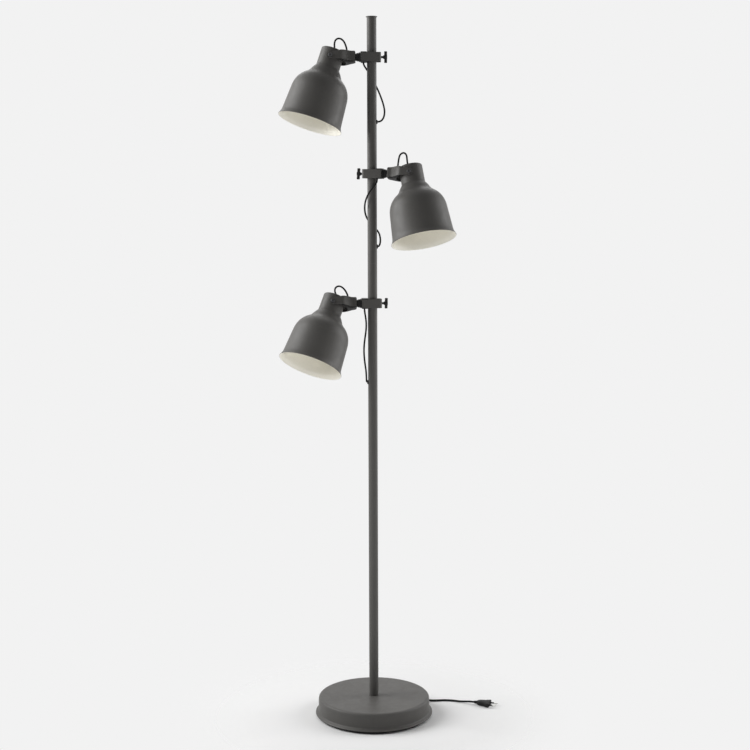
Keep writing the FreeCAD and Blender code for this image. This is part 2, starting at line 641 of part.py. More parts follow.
def plug_body():
    """Flat two-pin plug: tapered strain relief, waist and wide face."""
    relief = lathe([(0, 0), (3.4, 0), (4.6, 12), (0, 12)])
    relief.rotate(Vector(), Y_AXIS, 90)
    half = [(9, 5.0), (14, 8.5), (30, 12.5), (40, 17.0), (43, 17.5)]
    slab = plate(half + [(x, -y) for x, y in reversed(half)], 13.6, -6.8)
    return relief.fuse(slab).removeSplitter()


def plug_pins():
    pieces = []
    for side in (-1, 1):
        pin = lathe([(0, 43), (2.0, 43), (2.0, 60.5), (1.2, 62), (0, 62)])
        pin.rotate(Vector(), Y_AXIS, 90)
        pieces.append(placed(pin, shift(0, side * 9.2, 0)))
    return Part.makeCompound(pieces)


def main():
    shared = {
        "base_cover": base_cover(), "base_weight": base_weight(), "bottom_plate": bottom_plate(),
        "base_nipple": base_nipple(), "terminal_block": terminal_block(),
        "pole_lower": pole_tube(BASE_H, POLE_JOINTS[0], []),
        "pole_inserts": pole_inserts(), "pole_cap": pole_cap(),
        "hole_grommets": hole_grommets(), "pole_leads": pole_leads(), "cord_gland": cord_gland(),
    }
    holes = [(lamp["hole_z"], lamp["hole_side"]) for lamp in LAMPS.values()]
    spans = {"pole_middle": (POLE_JOINTS[0], POLE_JOINTS[1]), "pole_upper": (POLE_JOINTS[1], HEIGHT - 2.0)}
    for name, (low, high) in spans.items():
        shared[name] = pole_tube(low, high, [h for h in holes if low < h[0] < high])
    for name, shape in shared.items():
        save(name, shape)

    save("cord_lead", cord_tube(lead_route(), CORD_R, "cord_lead", 0.8))
    save("cord_coil", cord_coil())
    save("cord_run", cord_tube(run_route(), CORD_R, "cord_run"))

    plug_move = [shift(*PLUG_AT), turn(Z_AXIS, PLUG_HEADING)]
    save("plug_body", placed(plug_body(), *plug_move))
    save("plug_pins", placed(plug_pins(), *plug_move))

    for name, lamp in LAMPS.items():
        in_clamp = {"clamp_liner": clamp_liner(), "clamp_ring": clamp_ring(), "clamp_block": clamp_block(),
                    "clamp_pad": clamp_pad(), "clamp_screw": clamp_screw(lamp["wing"])}
        in_arm = {"arm_bolt": arm_bolt(), "arm_shell": arm_shell(), "yoke": yoke(),
                  "cable_loop": cable_loop(name, lamp)}
        in_shade = {"shade": shade(), "pivot_screws": pivot_screws(), "neck_bridge": neck_bridge(),
                    "lampholder": lampholder()}
        for place, pieces in ((clamp_place, in_clamp), (arm_place, in_arm), (shade_place, in_shade)):
            for piece, shape in pieces.items():
                save(piece + "_" + name, placed(shape, *place(lamp)))
        save("cable_tail_" + name, cord_tube(TAIL_ROUTES[name], LEAD_R, "cable_tail_" + name))


main()
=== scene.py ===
import math

import bmesh
import bpy
from mathutils import Matrix, Vector


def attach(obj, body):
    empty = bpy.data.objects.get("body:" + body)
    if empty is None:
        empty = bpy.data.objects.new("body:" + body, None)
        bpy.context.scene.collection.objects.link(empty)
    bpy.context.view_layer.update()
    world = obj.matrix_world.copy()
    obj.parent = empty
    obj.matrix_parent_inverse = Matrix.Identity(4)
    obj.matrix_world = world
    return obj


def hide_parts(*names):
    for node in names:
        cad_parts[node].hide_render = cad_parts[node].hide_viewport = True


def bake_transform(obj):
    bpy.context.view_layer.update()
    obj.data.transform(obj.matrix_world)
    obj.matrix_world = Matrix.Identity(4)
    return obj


# Tree floor lamp: three spun bell shades on arms that clamp to one pole over a weighted base.
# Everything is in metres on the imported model's frame, and the drawings inside the sections are in millimetres.
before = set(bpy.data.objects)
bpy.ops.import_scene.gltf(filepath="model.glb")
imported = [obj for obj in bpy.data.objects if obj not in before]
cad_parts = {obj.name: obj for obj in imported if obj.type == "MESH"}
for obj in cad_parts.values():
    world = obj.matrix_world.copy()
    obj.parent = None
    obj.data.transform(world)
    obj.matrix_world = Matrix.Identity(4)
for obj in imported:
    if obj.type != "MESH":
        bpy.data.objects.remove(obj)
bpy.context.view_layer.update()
scene = bpy.context.scene


# ---------------- studio
# A pale floor that runs out into an even background, a tall soft box on each side, one above and behind, one
# flat on the floor in front that fills the shades from below, and a camera at standing height, turned a little
# down.
def linked(obj):
    scene.collection.objects.link(obj)
    return obj


scene.view_settings.view_transform = "Standard"
camera = linked(bpy.data.objects.new("camera", bpy.data.cameras.new("camera")))
camera.data.lens = 68.64
camera.data.clip_end = 60.0
look_down = Matrix.Rotation(math.radians(90.0 - 6.95), 4, "X")
lean = Matrix.Rotation(math.radians(-0.2), 4, "Z")
camera.matrix_world = Matrix.Translation((0.0055, -3.561, 1.314)) @ look_down @ lean
scene.camera = camera

for name, place, aim, width, height, power in (
        ("left_box", (-2.3, 0.2, 2.1), (0.0, 0.0, 1.1), 1.9, 2.0, 84.0),
        ("right_box", (2.3, 0.55, 1.5), (0.0, 0.0, 1.0), 1.5, 2.4, 40.0),
        ("top_box", (0.0, 2.0, 2.8), (0.0, 0.0, 0.3), 2.4, 1.6, 22.0),
        ("low_box", (0.0, -1.1, 0.04), (0.0, -1.0, 2.0), 2.2, 0.9, 10.0)):
    box = bpy.data.lights.new(name, "AREA")
    box.shape = "RECTANGLE"
    box.size = width
    box.size_y = height
    box.energy = power
    lamp_object = linked(bpy.data.objects.new(name, box))
    lamp_object.location = place
    lamp_object.rotation_euler = (Vector(aim) - Vector(place)).to_track_quat("-Z", "Y").to_euler()
    lamp_object.visible_camera = False

BACKGROUND = (0.888, 0.888, 0.888, 1.0)


def add(tree, kind, feeds=(), **settings):
    """A node with its settings, and its inputs either joined to a socket or set to a value."""
    node = tree.nodes.new(kind)
    for key, value in settings.items():
        setattr(node, key, value)
    for socket, source in feeds:
        if isinstance(source, bpy.types.NodeSocket):
            tree.links.new(source, node.inputs[socket])
        else:
            node.inputs[socket].default_value = source
    return node


def maths(tree, operation, *values):
    """The result of one Math node over sockets and numbers."""
    return add(tree, "ShaderNodeMath", enumerate(values), operation=operation).outputs[0]


def ranged(tree, value, low, high, to_low=0.0, to_high=1.0, easing="LINEAR"):
    """The value stretched from one range to another and held at its ends."""
    return add(tree, "ShaderNodeMapRange", enumerate((value, low, high, to_low, to_high)),
               interpolation_type=easing).outputs["Result"]


def seen_directly(tree):
    """1 where a ray from the camera, a mirror or glass arrives, 0 where the surface only sends light on."""
    path = add(tree, "ShaderNodeLightPath").outputs
    return maths(tree, "MAXIMUM", maths(tree, "MAXIMUM", path["Is Camera Ray"], path["Is Glossy Ray"]),
                 path["Is Transmission Ray"])


world = bpy.data.worlds.new("studio_air")
scene.world = world
world.use_nodes = True
air = world.node_tree
air.nodes.clear()
light_air = add(air, "ShaderNodeBackground", (("Color", (1.0, 0.99, 0.97, 1.0)), ("Strength", 0.08)))
shown_air = add(air, "ShaderNodeBackground", (("Color", BACKGROUND), ("Strength", 1.0)))
choose = add(air, "ShaderNodeMixShader", ((0, seen_directly(air)), (1, light_air.outputs[0]),
                                          (2, shown_air.outputs[0])))
add(air, "ShaderNodeOutputWorld", (("Surface", choose.outputs[0]),))

floor_mesh = bpy.data.meshes.new("floor")
FLOOR_EDGE = 9.0
FLOOR_Z = -0.0002
floor_rim = [(FLOOR_EDGE * math.cos(math.radians(a)), FLOOR_EDGE * math.sin(math.radians(a)), FLOOR_Z)
             for a in range(0, 360, 10)]
floor_mesh.from_pydata(floor_rim, [], [list(range(len(floor_rim)))])
floor = linked(bpy.data.objects.new("floor", floor_mesh))

# The paper gives way to the background away from the lamp, and is not there from below
paper = bpy.data.materials.new("floor_paper")
paper.use_nodes = True
tree = paper.node_tree
tree.nodes.clear()
sheen = add(tree, "ShaderNodeBsdfDiffuse", (("Color", (0.93, 0.93, 0.93, 1.0)),))
clear = add(tree, "ShaderNodeBsdfTransparent")
where = add(tree, "ShaderNodeTexCoord").outputs["Object"]
reach = add(tree, "ShaderNodeVectorMath", ((0, where),), operation="LENGTH").outputs["Value"]
far_off = maths(tree, "MULTIPLY", ranged(tree, reach, 0.16, 0.55, easing="SMOOTHERSTEP"), seen_directly(tree))
gone = maths(tree, "MAXIMUM", far_off, add(tree, "ShaderNodeNewGeometry").outputs["Backfacing"])
mix = add(tree, "ShaderNodeMixShader", ((0, gone), (1, sheen.outputs[0]), (2, clear.outputs[0])))
add(tree, "ShaderNodeOutputMaterial", (("Surface", mix.outputs[0]),))
floor_mesh.materials.append(paper)


# ---------------- mains cord
# A round black two-core lead, 5 mm thick. It drops from the relief at the base's rear to the floor, its spare
# length is wound behind the base, and the free end runs round the right side to a flat plug.
def skin_group(name, inputs):
    """A node group that gives a skin's colour, roughness and height, and its two end nodes."""
    group = bpy.data.node_groups.new(name, "ShaderNodeTree")
    for label, value in inputs.items():
        kind = "NodeSocketFloat" if isinstance(value, float) else "NodeSocketColor"
        group.interface.new_socket(label, in_out="INPUT", socket_type=kind).default_value = value
    group.interface.new_socket("Colour", in_out="OUTPUT", socket_type="NodeSocketColor")
    for label in ("Roughness", "Height"):
        group.interface.new_socket(label, in_out="OUTPUT", socket_type="NodeSocketFloat")
    return group, group.nodes.new("NodeGroupInput").outputs, group.nodes.new("NodeGroupOutput").inputs


def noise(tree, at, scale, **settings):
    """Smooth noise over the object's own places."""
    feeds = [("Vector", at), ("Scale", scale)] + [(word.title(), value) for word, value in settings.items()]
    return add(tree, "ShaderNodeTexNoise", feeds).outputs["Fac"]


# Moulded skin: the fine matt grain of the mould, slow changes of tone, and a little dust that dulls it
moulded, start, end = skin_group(
    "moulded_skin", {"Colour": (0.02, 0.02, 0.02, 1.0), "Tone": 0.3, "Grain Scale": 2200.0, "Roughness": 0.5})
at = add(moulded, "ShaderNodeTexCoord").outputs["Object"]
grain = noise(moulded, at, start["Grain Scale"], detail=3.0, roughness=0.6)
slow = noise(moulded, at, 38.0, detail=4.0)
dust = ranged(moulded, slow, 0.42, 0.72, easing="SMOOTHSTEP")
share = maths(moulded, "MULTIPLY", dust, start["Tone"])
dusty = add(moulded, "ShaderNodeMix", ((0, share), (6, start["Colour"]), (7, (0.16, 0.15, 0.135, 1.0))),
            data_type="RGBA")
speck = ranged(moulded, grain, 0.3, 0.7, 0.86, 1.12)
tinted = add(moulded, "ShaderNodeVectorMath", ((0, dusty.outputs[2]), (3, speck)), operation="SCALE")
dulled = maths(moulded, "MULTIPLY_ADD", dust, 0.14, start["Roughness"])
moulded.links.new(tinted.outputs[0], end["Colour"])
moulded.links.new(dulled, end["Roughness"])
moulded.links.new(grain, end["Height"])


def skinned(name, group, relief, metallic=0.0, specular=0.5, **inputs):
    """A material whose colour, roughness and relief come from one of the shared groups."""
    material = bpy.data.materials.new(name)
    material.use_nodes = True
    tree = material.node_tree
    shader = tree.nodes["Principled BSDF"]
    skin = add(tree, "ShaderNodeGroup", node_tree=group)
    for word, value in inputs.items():
        skin.inputs[word.replace("_", " ").title()].default_value = value
    bump = add(tree, "ShaderNodeBump", (("Height", skin.outputs["Height"]), ("Strength", 0.6),
                                        ("Distance", relief)))
    tree.links.new(skin.outputs["Colour"], shader.inputs["Base Color"])
    tree.links.new(skin.outputs["Roughness"], shader.inputs["Roughness"])
    tree.links.new(bump.outputs["Normal"], shader.inputs["Normal"])
    shader.inputs["Metallic"].default_value = metallic
    shader.inputs["Specular IOR Level"].default_value = specular
    return material


cord_sheath = skinned("black_cord_sheath", moulded, relief=0.00006, specular=0.15,
                      colour=(0.006, 0.006, 0.0062, 1.0), tone=0.03, grain_scale=2600.0, roughness=0.6)


def carried(pieces, body, nodes):
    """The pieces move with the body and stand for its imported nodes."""
    for piece in pieces:
        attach(piece, body)
        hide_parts(*nodes)


CORD_RADIUS = 0.0025
FLOOR_LINE = 0.0027
lead_out = [
    (0.0, 0.164, 0.021), (0.0, 0.1693, 0.021), (0.0, 0.1777, 0.0161), (0.0, 0.1825, 0.0077),
    (0.0, 0.1909, 0.0027), (0.0, 0.197, 0.0027)]
run_to_plug = [
    (0.07929, 0.197, 0.0083), (0.07929, 0.186, 0.0083), (0.0806, 0.175, 0.0064), (0.0875, 0.1645, 0.0032),
    (0.098, 0.1515, 0.0027), (0.111, 0.135, 0.0027), (0.1225, 0.117, 0.0027), (0.1325, 0.0985, 0.0027),
    (0.147, 0.0865, 0.0027), (0.1655, 0.0855, 0.0027), (0.185, 0.0885, 0.0027), (0.205, 0.086, 0.0027),
    (0.2235, 0.0792, 0.0027), (0.239, 0.0714, 0.0046), (0.25166, 0.06576, 0.00685), (0.262, 0.062, 0.00685)]

# The spare length winds inwards on the floor, climbs by a cord's thickness, and winds outwards on top
COIL_TURNS = 4.0
COIL_CLIMB = 0.5
COIL_INNER = 0.016
COIL_PITCH = 0.0059
COIL_LAYER = 0.0056
COIL_EASE = 0.25
POINTS_A_TURN = 16


def coil_radius(turns):
    from_middle = turns - COIL_TURNS - COIL_CLIMB / 2
    return COIL_INNER + COIL_PITCH * (math.sqrt(from_middle ** 2 + COIL_EASE ** 2) - COIL_EASE)


coil = []
coil_middle = (coil_radius(0), 0.202)
outside_corner = 1.0 / math.cos(math.pi / POINTS_A_TURN)
for step in range(int(POINTS_A_TURN * (2 * COIL_TURNS + COIL_CLIMB)) + 1):
    turns = step / POINTS_A_TURN
    climbed = min(max((turns - COIL_TURNS) / COIL_CLIMB, 0.0), 1.0)
    lift = COIL_LAYER * (climbed - math.sin(2 * math.pi * climbed) / (2 * math.pi))
    radius = coil_radius(turns) * outside_corner
    angle = math.pi - 2 * math.pi * turns
    coil.append((coil_middle[0] + radius * math.cos(angle), coil_middle[1] + radius * math.sin(angle),
                 FLOOR_LINE + lift))


def soft_line(name, points, radius=0.0, density=6):
    """One open NURBS line through the run of its control points, with a round section or none."""
    line = bpy.data.curves.new(name, "CURVE")
    line.dimensions = "3D"
    line.resolution_u = density
    spline = line.splines.new("NURBS")
    spline.points.add(len(points) - 1)
    for knot, place in zip(spline.points, points):
        knot.co = (*place, 1.0)
    spline.order_u = 3
    spline.use_endpoint_u = True
    line.bevel_depth = radius
    line.bevel_resolution = 5
    line.use_fill_caps = radius > 0
    return linked(bpy.data.objects.new(name, line))


mains_cord = soft_line("mains_cord", lead_out + coil[1:-1] + run_to_plug, CORD_RADIUS)
mains_cord.data.materials.append(cord_sheath)
carried([mains_cord], "base", ["cord_lead", "cord_coil", "cord_run"])


# ---------------- lamp leads
# Each lamp head has one black lead. It comes up from the arm and loops over into the shade's neck, and at
# the clamp it leaves underneath and hangs down to a grommet in the pole, slack enough to turn and to slide.
LAMPS = {
    "top": {"z": 1.662, "heading": 180.0, "roll": 10.5, "tilt": 17.7, "hole_z": 1.506, "hole_side": 1,
            "wing": 82.0, "arm_lead": 0.0603, "neck_lead": 0.002},
    "middle": {"z": 1.380, "heading": -13.0, "roll": -14.5, "tilt": 13.2, "hole_z": 1.201, "hole_side": 1,
               "wing": 72.0, "arm_lead": 0.0638, "neck_lead": 0.0055},
    "bottom": {"z": 1.060, "heading": 184.0, "roll": 22.8, "tilt": 20.2, "hole_z": 0.862, "hole_side": -1,
               "wing": 65.0, "arm_lead": 0.0603, "neck_lead": 0.002},
}
# The tilt's hinge in the arm's own drawing, and the neck's closed top over it
HINGE = Vector((0.100, 0, -0.003))
NECK_TOP = 0.0215


def in_clamp(lamp):
    """From the clamp's own drawing (out along the arm, sideways, up, from the pole's axis) to the lamp."""
    return Matrix.Translation((0, 0, lamp["z"])) @ Matrix.Rotation(math.radians(lamp["heading"]), 4, "Z")


def in_arm(lamp):
    return in_clamp(lamp) @ Matrix.Rotation(math.radians(lamp["roll"]), 4, "X")


def in_shade(lamp):
    """From the shade's own drawing, with its axis upright through the pivots."""
    return in_arm(lamp) @ Matrix.Translation(HINGE) @ Matrix.Rotation(math.radians(-lamp["tilt"]), 4, "Y")


# Control points in millimetres: the loops in the arm's own drawing, the tails from the foot of the pole's axis
loops = {
    "top": [
        (60.2, 0, 8), (60.5, 0, 19.5), (63.6, 0.6, 30.5), (68.2, 1.2, 40), (75.2, 1.5, 46), (83.2, 1.2, 46.6),
        (89.4, 0.7, 41.5), (91.2, 0.3, 31.5)],
    "middle": [
        (63.7, 0, 8), (63.9, 0, 20), (66.2, -0.9, 42.8), (70.2, -1.4, 49.4), (76.2, -1.5, 52.2),
        (81.5, -1.2, 50.4), (85.2, -0.7, 44.6), (86.6, -0.2, 33)],
    "bottom": [
        (60.2, 0, 8), (60.8, 0, 19.5), (64.6, -0.8, 30), (70.6, -1.4, 40), (78.4, -1.7, 46.2), (86.8, -1.4, 46.4),
        (93, -0.8, 40.5), (93.4, -0.3, 30.5)],
}
tails = {
    "top": [
        (-20.5, 0, 1654), (-20.3, 0.3, 1646), (-17.2, 5, 1640.2), (-12.5, 10, 1633.5), (-5.5, 14.5, 1623.5),
        (3.5, 17.2, 1607), (14, 15, 1587), (21.5, 10.5, 1569), (28, 6.5, 1550.5), (31.8, 3, 1533),
        (30, 0.8, 1518), (24, 0, 1508.6), (16.2, 0, 1506), (9.6, 0, 1506)],
    "middle": [
        (12.8, -10.6, 1372), (12.6, -11.2, 1362.5), (9.4, -13.8, 1355.2), (3.3, -16.5, 1347.8),
        (-4.8, -17.1, 1338), (-12, -14.8, 1325.5), (-17.4, -9.6, 1311), (-19, -2.4, 1295), (-17, 6, 1280),
        (-11, 13.2, 1266.5), (-1.5, 17.2, 1255), (8.5, 16.2, 1245), (16.2, 10.8, 1235.5), (19.6, 4.4, 1225),
        (20.2, 0.6, 1212), (17.6, 0, 1203.6), (14.6, 0, 1201), (9.6, 0, 1201)],
    "bottom": [
        (-20.4, -1.4, 1052), (-20, -1.4, 1040), (-17.2, -1, 1025), (-15.6, -0.8, 1008), (-16.6, -0.6, 990),
        (-19.6, -0.4, 971), (-21.9, 0.2, 950), (-21.7, 0, 929), (-19.6, 0.2, 909), (-17, 0, 892),
        (-16.2, 0.1, 878), (-15.9, 0, 868.6), (-15.6, 0, 862), (-9.6, 0, 862)],
}
LEAD_RADIUS = 0.0022
LEAD_SIDES = 14
# Where the arm, the neck, the clamp and the grommet each let their lead go: over the arm's axis, over the
# neck's top, below the clamp's middle, over the hole's middle
NECK_HOLDS = 0.0045
# The height at which each tail is split into an upper and a lower tube
TURN_ENDS = {"top": 1.624, "middle": 1.330, "bottom": 0.995}


def line_places(points):
    """The places along Blender's own smooth line through the control points."""
    line = soft_line("route", points, density=7)
    mesh = bpy.data.meshes.new_from_object(line)
    places = [v.co.copy() for v in mesh.vertices]
    bpy.data.objects.remove(line)
    bpy.data.meshes.remove(mesh)
    return places


def between_rings(rings, around, ends=False):
    """The faces over rings of corners that follow each other, and over the two ends where the body is solid."""
    faces = []
    for first in range(0, (rings - 1) * around, around):
        for i in range(around):
            j = (i + 1) % around
            faces.append([first + i, first + j, first + j + around, first + i + around])
    if ends:
        last = (rings - 1) * around
        faces += [list(range(around))[::-1], list(range(last, last + around))]
    return faces


def lead_tube(name, places):
    """A round sheath along the places, closed at both ends."""
    ahead = [(b - a).normalized() for a, b in zip(places, places[1:])]
    ahead.append(ahead[-1])
    across = ahead[0].orthogonal().normalized()
    corners = []
    for i, place in enumerate(places):
        heading = (ahead[max(i - 1, 0)] + ahead[i]).normalized()
        across = (across - heading * across.dot(heading)).normalized()
        up = heading.cross(across)
        for side in range(LEAD_SIDES):
            angle = 2 * math.pi * side / LEAD_SIDES
            corners.append(place + (across * math.cos(angle) + up * math.sin(angle)) * LEAD_RADIUS)
    mesh = bpy.data.meshes.new(name)
    mesh.from_pydata(corners, [], between_rings(len(places), LEAD_SIDES, ends=True))
    mesh.shade_smooth()
    mesh.materials.append(cord_sheath)
    return linked(bpy.data.objects.new(name, mesh))


def hung(node):
    """The packed lead is hidden; the tube drawn along its path stands for it."""
    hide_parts(node)


for head, lamp in LAMPS.items():
    tilt = math.radians(lamp["tilt"])
    neck_axis = Vector((-math.sin(tilt), 0, math.cos(tilt)))
    neck_across = Vector((math.cos(tilt), 0, math.sin(tilt)))
    neck_hole = HINGE - neck_across * lamp["neck_lead"] + neck_axis * NECK_TOP
    through = neck_axis * NECK_HOLDS
    route = [Vector(p) / 1000 for p in loops[head]] + [neck_hole + through, neck_hole - through]
    places = line_places([in_arm(lamp) @ p for p in route])
    loop = lead_tube("lead_loop_" + head, places)
    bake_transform(loop)
    hung("cable_loop_" + head)

    places = line_places([Vector(p) / 1000 for p in tails[head]])
    split = next(i for i, place in enumerate(places) if place.z < TURN_ENDS[head])
    upper = lead_tube("lead_tail_upper_" + head, places[:split + 1])
    lower = lead_tube("lead_tail_lower_" + head, places[split:])
    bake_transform(upper)
    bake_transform(lower)
    hung("cable_tail_" + head)
    hung("cable_tail_" + head)


# ---------------- base
# A pressed steel dish in the same powder coat as the pole, with a drawn shoulder and a rolled lip that flares
# out at the foot. A black moulded plate closes it below, and the cast weight sits between them.
def filleted(corners, steps=5):
    """A profile of (radius, height, fillet) corners, each rounded by an arc of its own radius."""
    profile = []
    count = len(corners)
    for i, (r, h, fillet) in enumerate(corners):
        if fillet == 0:
            profile.append((r, h))
            continue
        corner = Vector((r, h))
        before = Vector(corners[i - 1][:2]) - corner
        after = Vector(corners[(i + 1) % count][:2]) - corner
        half = before.angle(after) / 2
        reach = min(fillet / math.tan(half), 0.49 * before.length, 0.49 * after.length)
        into = before.normalized() * reach
        out = after.normalized() * reach
        for step in range(steps + 1):
            t = step / steps
            profile.append(tuple(corner + into * (1 - t) ** 2 + out * t ** 2))
    return profile


def on_ring(r, h, angle):
    """A corner at a radius and a height, at an angle about the upright axis."""
    return (r * math.cos(angle), r * math.sin(angle), h)


def turned(profile, around):
    """A closed profile of (radius, height) turned about the upright axis."""
    corners = []
    rings = []
    for r, h in profile:
        if r < 1e-6:
            rings.append([len(corners)])
            corners.append((0, 0, h))
            continue
        rings.append(list(range(len(corners), len(corners) + around)))
        corners += [on_ring(r, h, 2 * math.pi * i / around) for i in range(around)]
    faces = []
    for low, high in zip(rings, rings[1:] + rings[:1]):
        if len(low) == 1 and len(high) == 1:
            continue
        for i in range(around):
            j = (i + 1) % around
            ring = [low[i % len(low)], low[j % len(low)], high[j % len(high)], high[i % len(high)]]
            faces.append(list(dict.fromkeys(ring)))
    return corners, faces


def made(name, drawing, materials, place=None, rolled=0.0, segments=3, sheet=0.0):
    """An object from a drawing's corners, in millimetres, and faces, with its sheet and its bevelled edges."""
    corners, faces = drawing
    mesh = bpy.data.meshes.new(name)
    mesh.from_pydata([[x / 1000 for x in corner] for corner in corners], [], faces)
    mesh.validate()
    obj = linked(bpy.data.objects.new(name, mesh))
    for material in materials:
        mesh.materials.append(material)
    mesh.shade_smooth()
    if sheet:
        thick = obj.modifiers.new("sheet", "SOLIDIFY")
        thick.thickness = sheet / 1000
        thick.offset = -1.0
        thick.use_even_offset = True
    if rolled:
        edge = obj.modifiers.new("broken_edges", "BEVEL")
        edge.width = rolled / 1000
        edge.segments = segments
        edge.limit_method = "ANGLE"
        edge.angle_limit = math.radians(30.0)
    even = obj.modifiers.new("even_shading", "WEIGHTED_NORMAL")
    even.keep_sharp = True
    if place is not None:
        obj.matrix_world = place
    return obj


def outward(obj):
    """Faces turned to look outwards, for drawings whose own order does not settle it."""
    work = bmesh.new()
    work.from_mesh(obj.data)
    bmesh.ops.recalc_face_normals(work, faces=work.faces)
    work.to_mesh(obj.data)
    work.free()
    return obj


# Powder coat: a fine pebbled skin, tone that drifts a little over a hand's width, faint fingermarks in the
# sheen, and edges painted paler along a bevel mask: partly a thin coat, partly a painted edge highlight
powder, start, end = skin_group(
    "powder_coat", {"Colour": (0.1, 0.1, 0.1, 1), "Thin Colour": (0.2, 0.2, 0.2, 1), "Drift": 0.08,
                    "Pebble Scale": 1500.0, "Roughness": 0.45, "Edge Width": 0.0006})
at = add(powder, "ShaderNodeTexCoord").outputs["Object"]
pebble = add(powder, "ShaderNodeTexVoronoi",
             (("Vector", at), ("Scale", start["Pebble Scale"]), ("Smoothness", 0.9), ("Detail", 1.0)),
             feature="SMOOTH_F1")
fine = noise(powder, at, 700.0, detail=5.0, roughness=0.7)
drift = noise(powder, at, 9.0, detail=3.0)
marks = noise(powder, at, 46.0, detail=6.0, distortion=0.8)
low_tone = maths(powder, "SUBTRACT", 1.0, start["Drift"])
high_tone = maths(powder, "ADD", 1.0, start["Drift"])
tone = ranged(powder, drift, 0.3, 0.7, low_tone, high_tone)
fleck = ranged(powder, fine, 0.35, 0.68, 0.93, 1.08)
shade_of = maths(powder, "MULTIPLY", tone, fleck)
body = add(powder, "ShaderNodeVectorMath", ((0, start["Colour"]), (3, shade_of)), operation="SCALE")
softened = add(powder, "ShaderNodeBevel", (("Radius", start["Edge Width"]),), samples=4)
plain = add(powder, "ShaderNodeNewGeometry")
bend = add(powder, "ShaderNodeVectorMath", ((0, softened.outputs["Normal"]), (1, plain.outputs["Normal"])),
           operation="DOT_PRODUCT")
# Painted edge highlight: a bevel mask, patched by the fingermark noise, paints edges towards the edge colour, partly
# as a thin coat
thin_coat_sheen_mask = maths(powder, "MULTIPLY", ranged(powder, bend.outputs["Value"], 0.985, 0.90), marks)
coat = add(powder, "ShaderNodeMix", ((0, thin_coat_sheen_mask), (6, body.outputs[0]), (7, start["Thin Colour"])),
           data_type="RGBA")
handled = ranged(powder, marks, 0.35, 0.75, -0.05, 0.06)
powder.links.new(coat.outputs[2], end["Colour"])
powder.links.new(maths(powder, "ADD", start["Roughness"], handled), end["Roughness"])
powder.links.new(pebble.outputs["Distance"], end["Height"])

# The grey coat's edge colour is about twice as light as its body: a painted edge highlight together with the thin
# coat
grey_coat = skinned("grey_powder_coat", powder, relief=0.00005, specular=0.27, colour=(0.092, 0.089, 0.084, 1.0),
                    thin_colour=(0.20, 0.195, 0.187, 1.0), drift=0.05, pebble_scale=1500.0, roughness=0.5,
                    edge_width=0.0006)
black_moulding = skinned("black_moulding", moulded, relief=0.00008, specular=0.18,
                         colour=(0.009, 0.009, 0.0093, 1.0), tone=0.08, grain_scale=1700.0, roughness=0.5)

dish = filleted([(7, 49.5, 0), (142, 49.5, 8), (142.9, 12.6, 4), (148.2, 9.4, 1.6), (150, 7.6, 0.9),
                 (150, 5.7, 0.7), (148.4, 5.7, 0.4), (147.6, 7.4, 0.6), (141.6, 10.6, 3), (140.8, 48.3, 6.8),
                 (7, 48.3, 0)], steps=7)
carried([made("base_dish", turned(dish, 192), [grey_coat])], "base", ["base_cover"])

# The plate stands on a raised foot ring, and its underside is ribbed
sole = [(0, 5.5, 0), (140.6, 5.5, 0.8), (142, 4.6, 0.6), (142, 0, 0.9), (131, 0, 0.7), (130, 2.2, 0.5)]
for ring in (104, 78, 52):
    sole += [(ring + 1.2, 2.2, 0.3), (ring + 0.9, 0.8, 0.3), (ring - 0.9, 0.8, 0.3), (ring - 1.2, 2.2, 0.3)]
sole += [(22, 2.2, 0.5), (21, 1, 0.5), (0, 1, 0)]
sole_plate = made("sole_plate", turned(filleted(sole, 3), 160), [black_moulding])
carried([sole_plate], "base", ["bottom_plate"])


# ---------------- pole
# Three steel tubes, 23.5 mm across, that butt end to end over inner sleeves and read as one pole. A thin cap
# closes the top, and a rubber grommet lines each hole where a lead goes in.
POLE_RADIUS = 11.75
POLE_BORE = 10.25
for name, low, high in (("pole_lower", 49.5, 640.0), ("pole_middle", 640.0, 1160.0),
                        ("pole_upper", 1160.0, 1758.0)):
    wall = [(POLE_BORE, low, 0), (POLE_RADIUS, low, 0.22), (POLE_RADIUS, high, 0.22), (POLE_BORE, high, 0)]
    tube = made(name + "_tube", turned(filleted(wall, 3), 72), [grey_coat])
    carried([tube], "base", [name])

cap = filleted([(0, 1749, 0), (10.2, 1749, 0.8), (10.2, 1758, 0), (13.9, 1757.8, 0.3), (13.9, 1759.4, 0.6),
                (9, 1760, 3), (0, 1760, 0)])
carried([made("pole_end_cap", turned(cap, 72), [grey_coat])], "base", ["pole_cap"])

# Each grommet is a soft lip that follows the pole's curve, with its sleeve through the wall
lip = [(2.25, -2.2), (2.25, 1.9), (2.4, 2.3), (2.8, 2.5), (3.7, 2.4), (4.6, 1.9), (5.2, 1.1), (5.4, 0)]
GROMMET_SIDES = 32
for head, lamp in LAMPS.items():
    side = lamp["hole_side"]
    corners = []
    for r, rise in lip:
        for i in range(GROMMET_SIDES):
            angle = 2 * math.pi * i / GROMMET_SIDES
            y = r * math.cos(angle)
            z = r * math.sin(angle)
            x = math.sqrt(POLE_RADIUS ** 2 - y * y) + rise if rise > -2 else 9.6
            corners.append((side * x, y, z + 1000 * lamp["hole_z"]))
    faces = [face[::side] for face in between_rings(len(lip), GROMMET_SIDES)]
    grommet = made("hole_grommet_" + head, (corners, faces), [black_moulding])
    carried([grommet], "base", ["hole_grommets"])


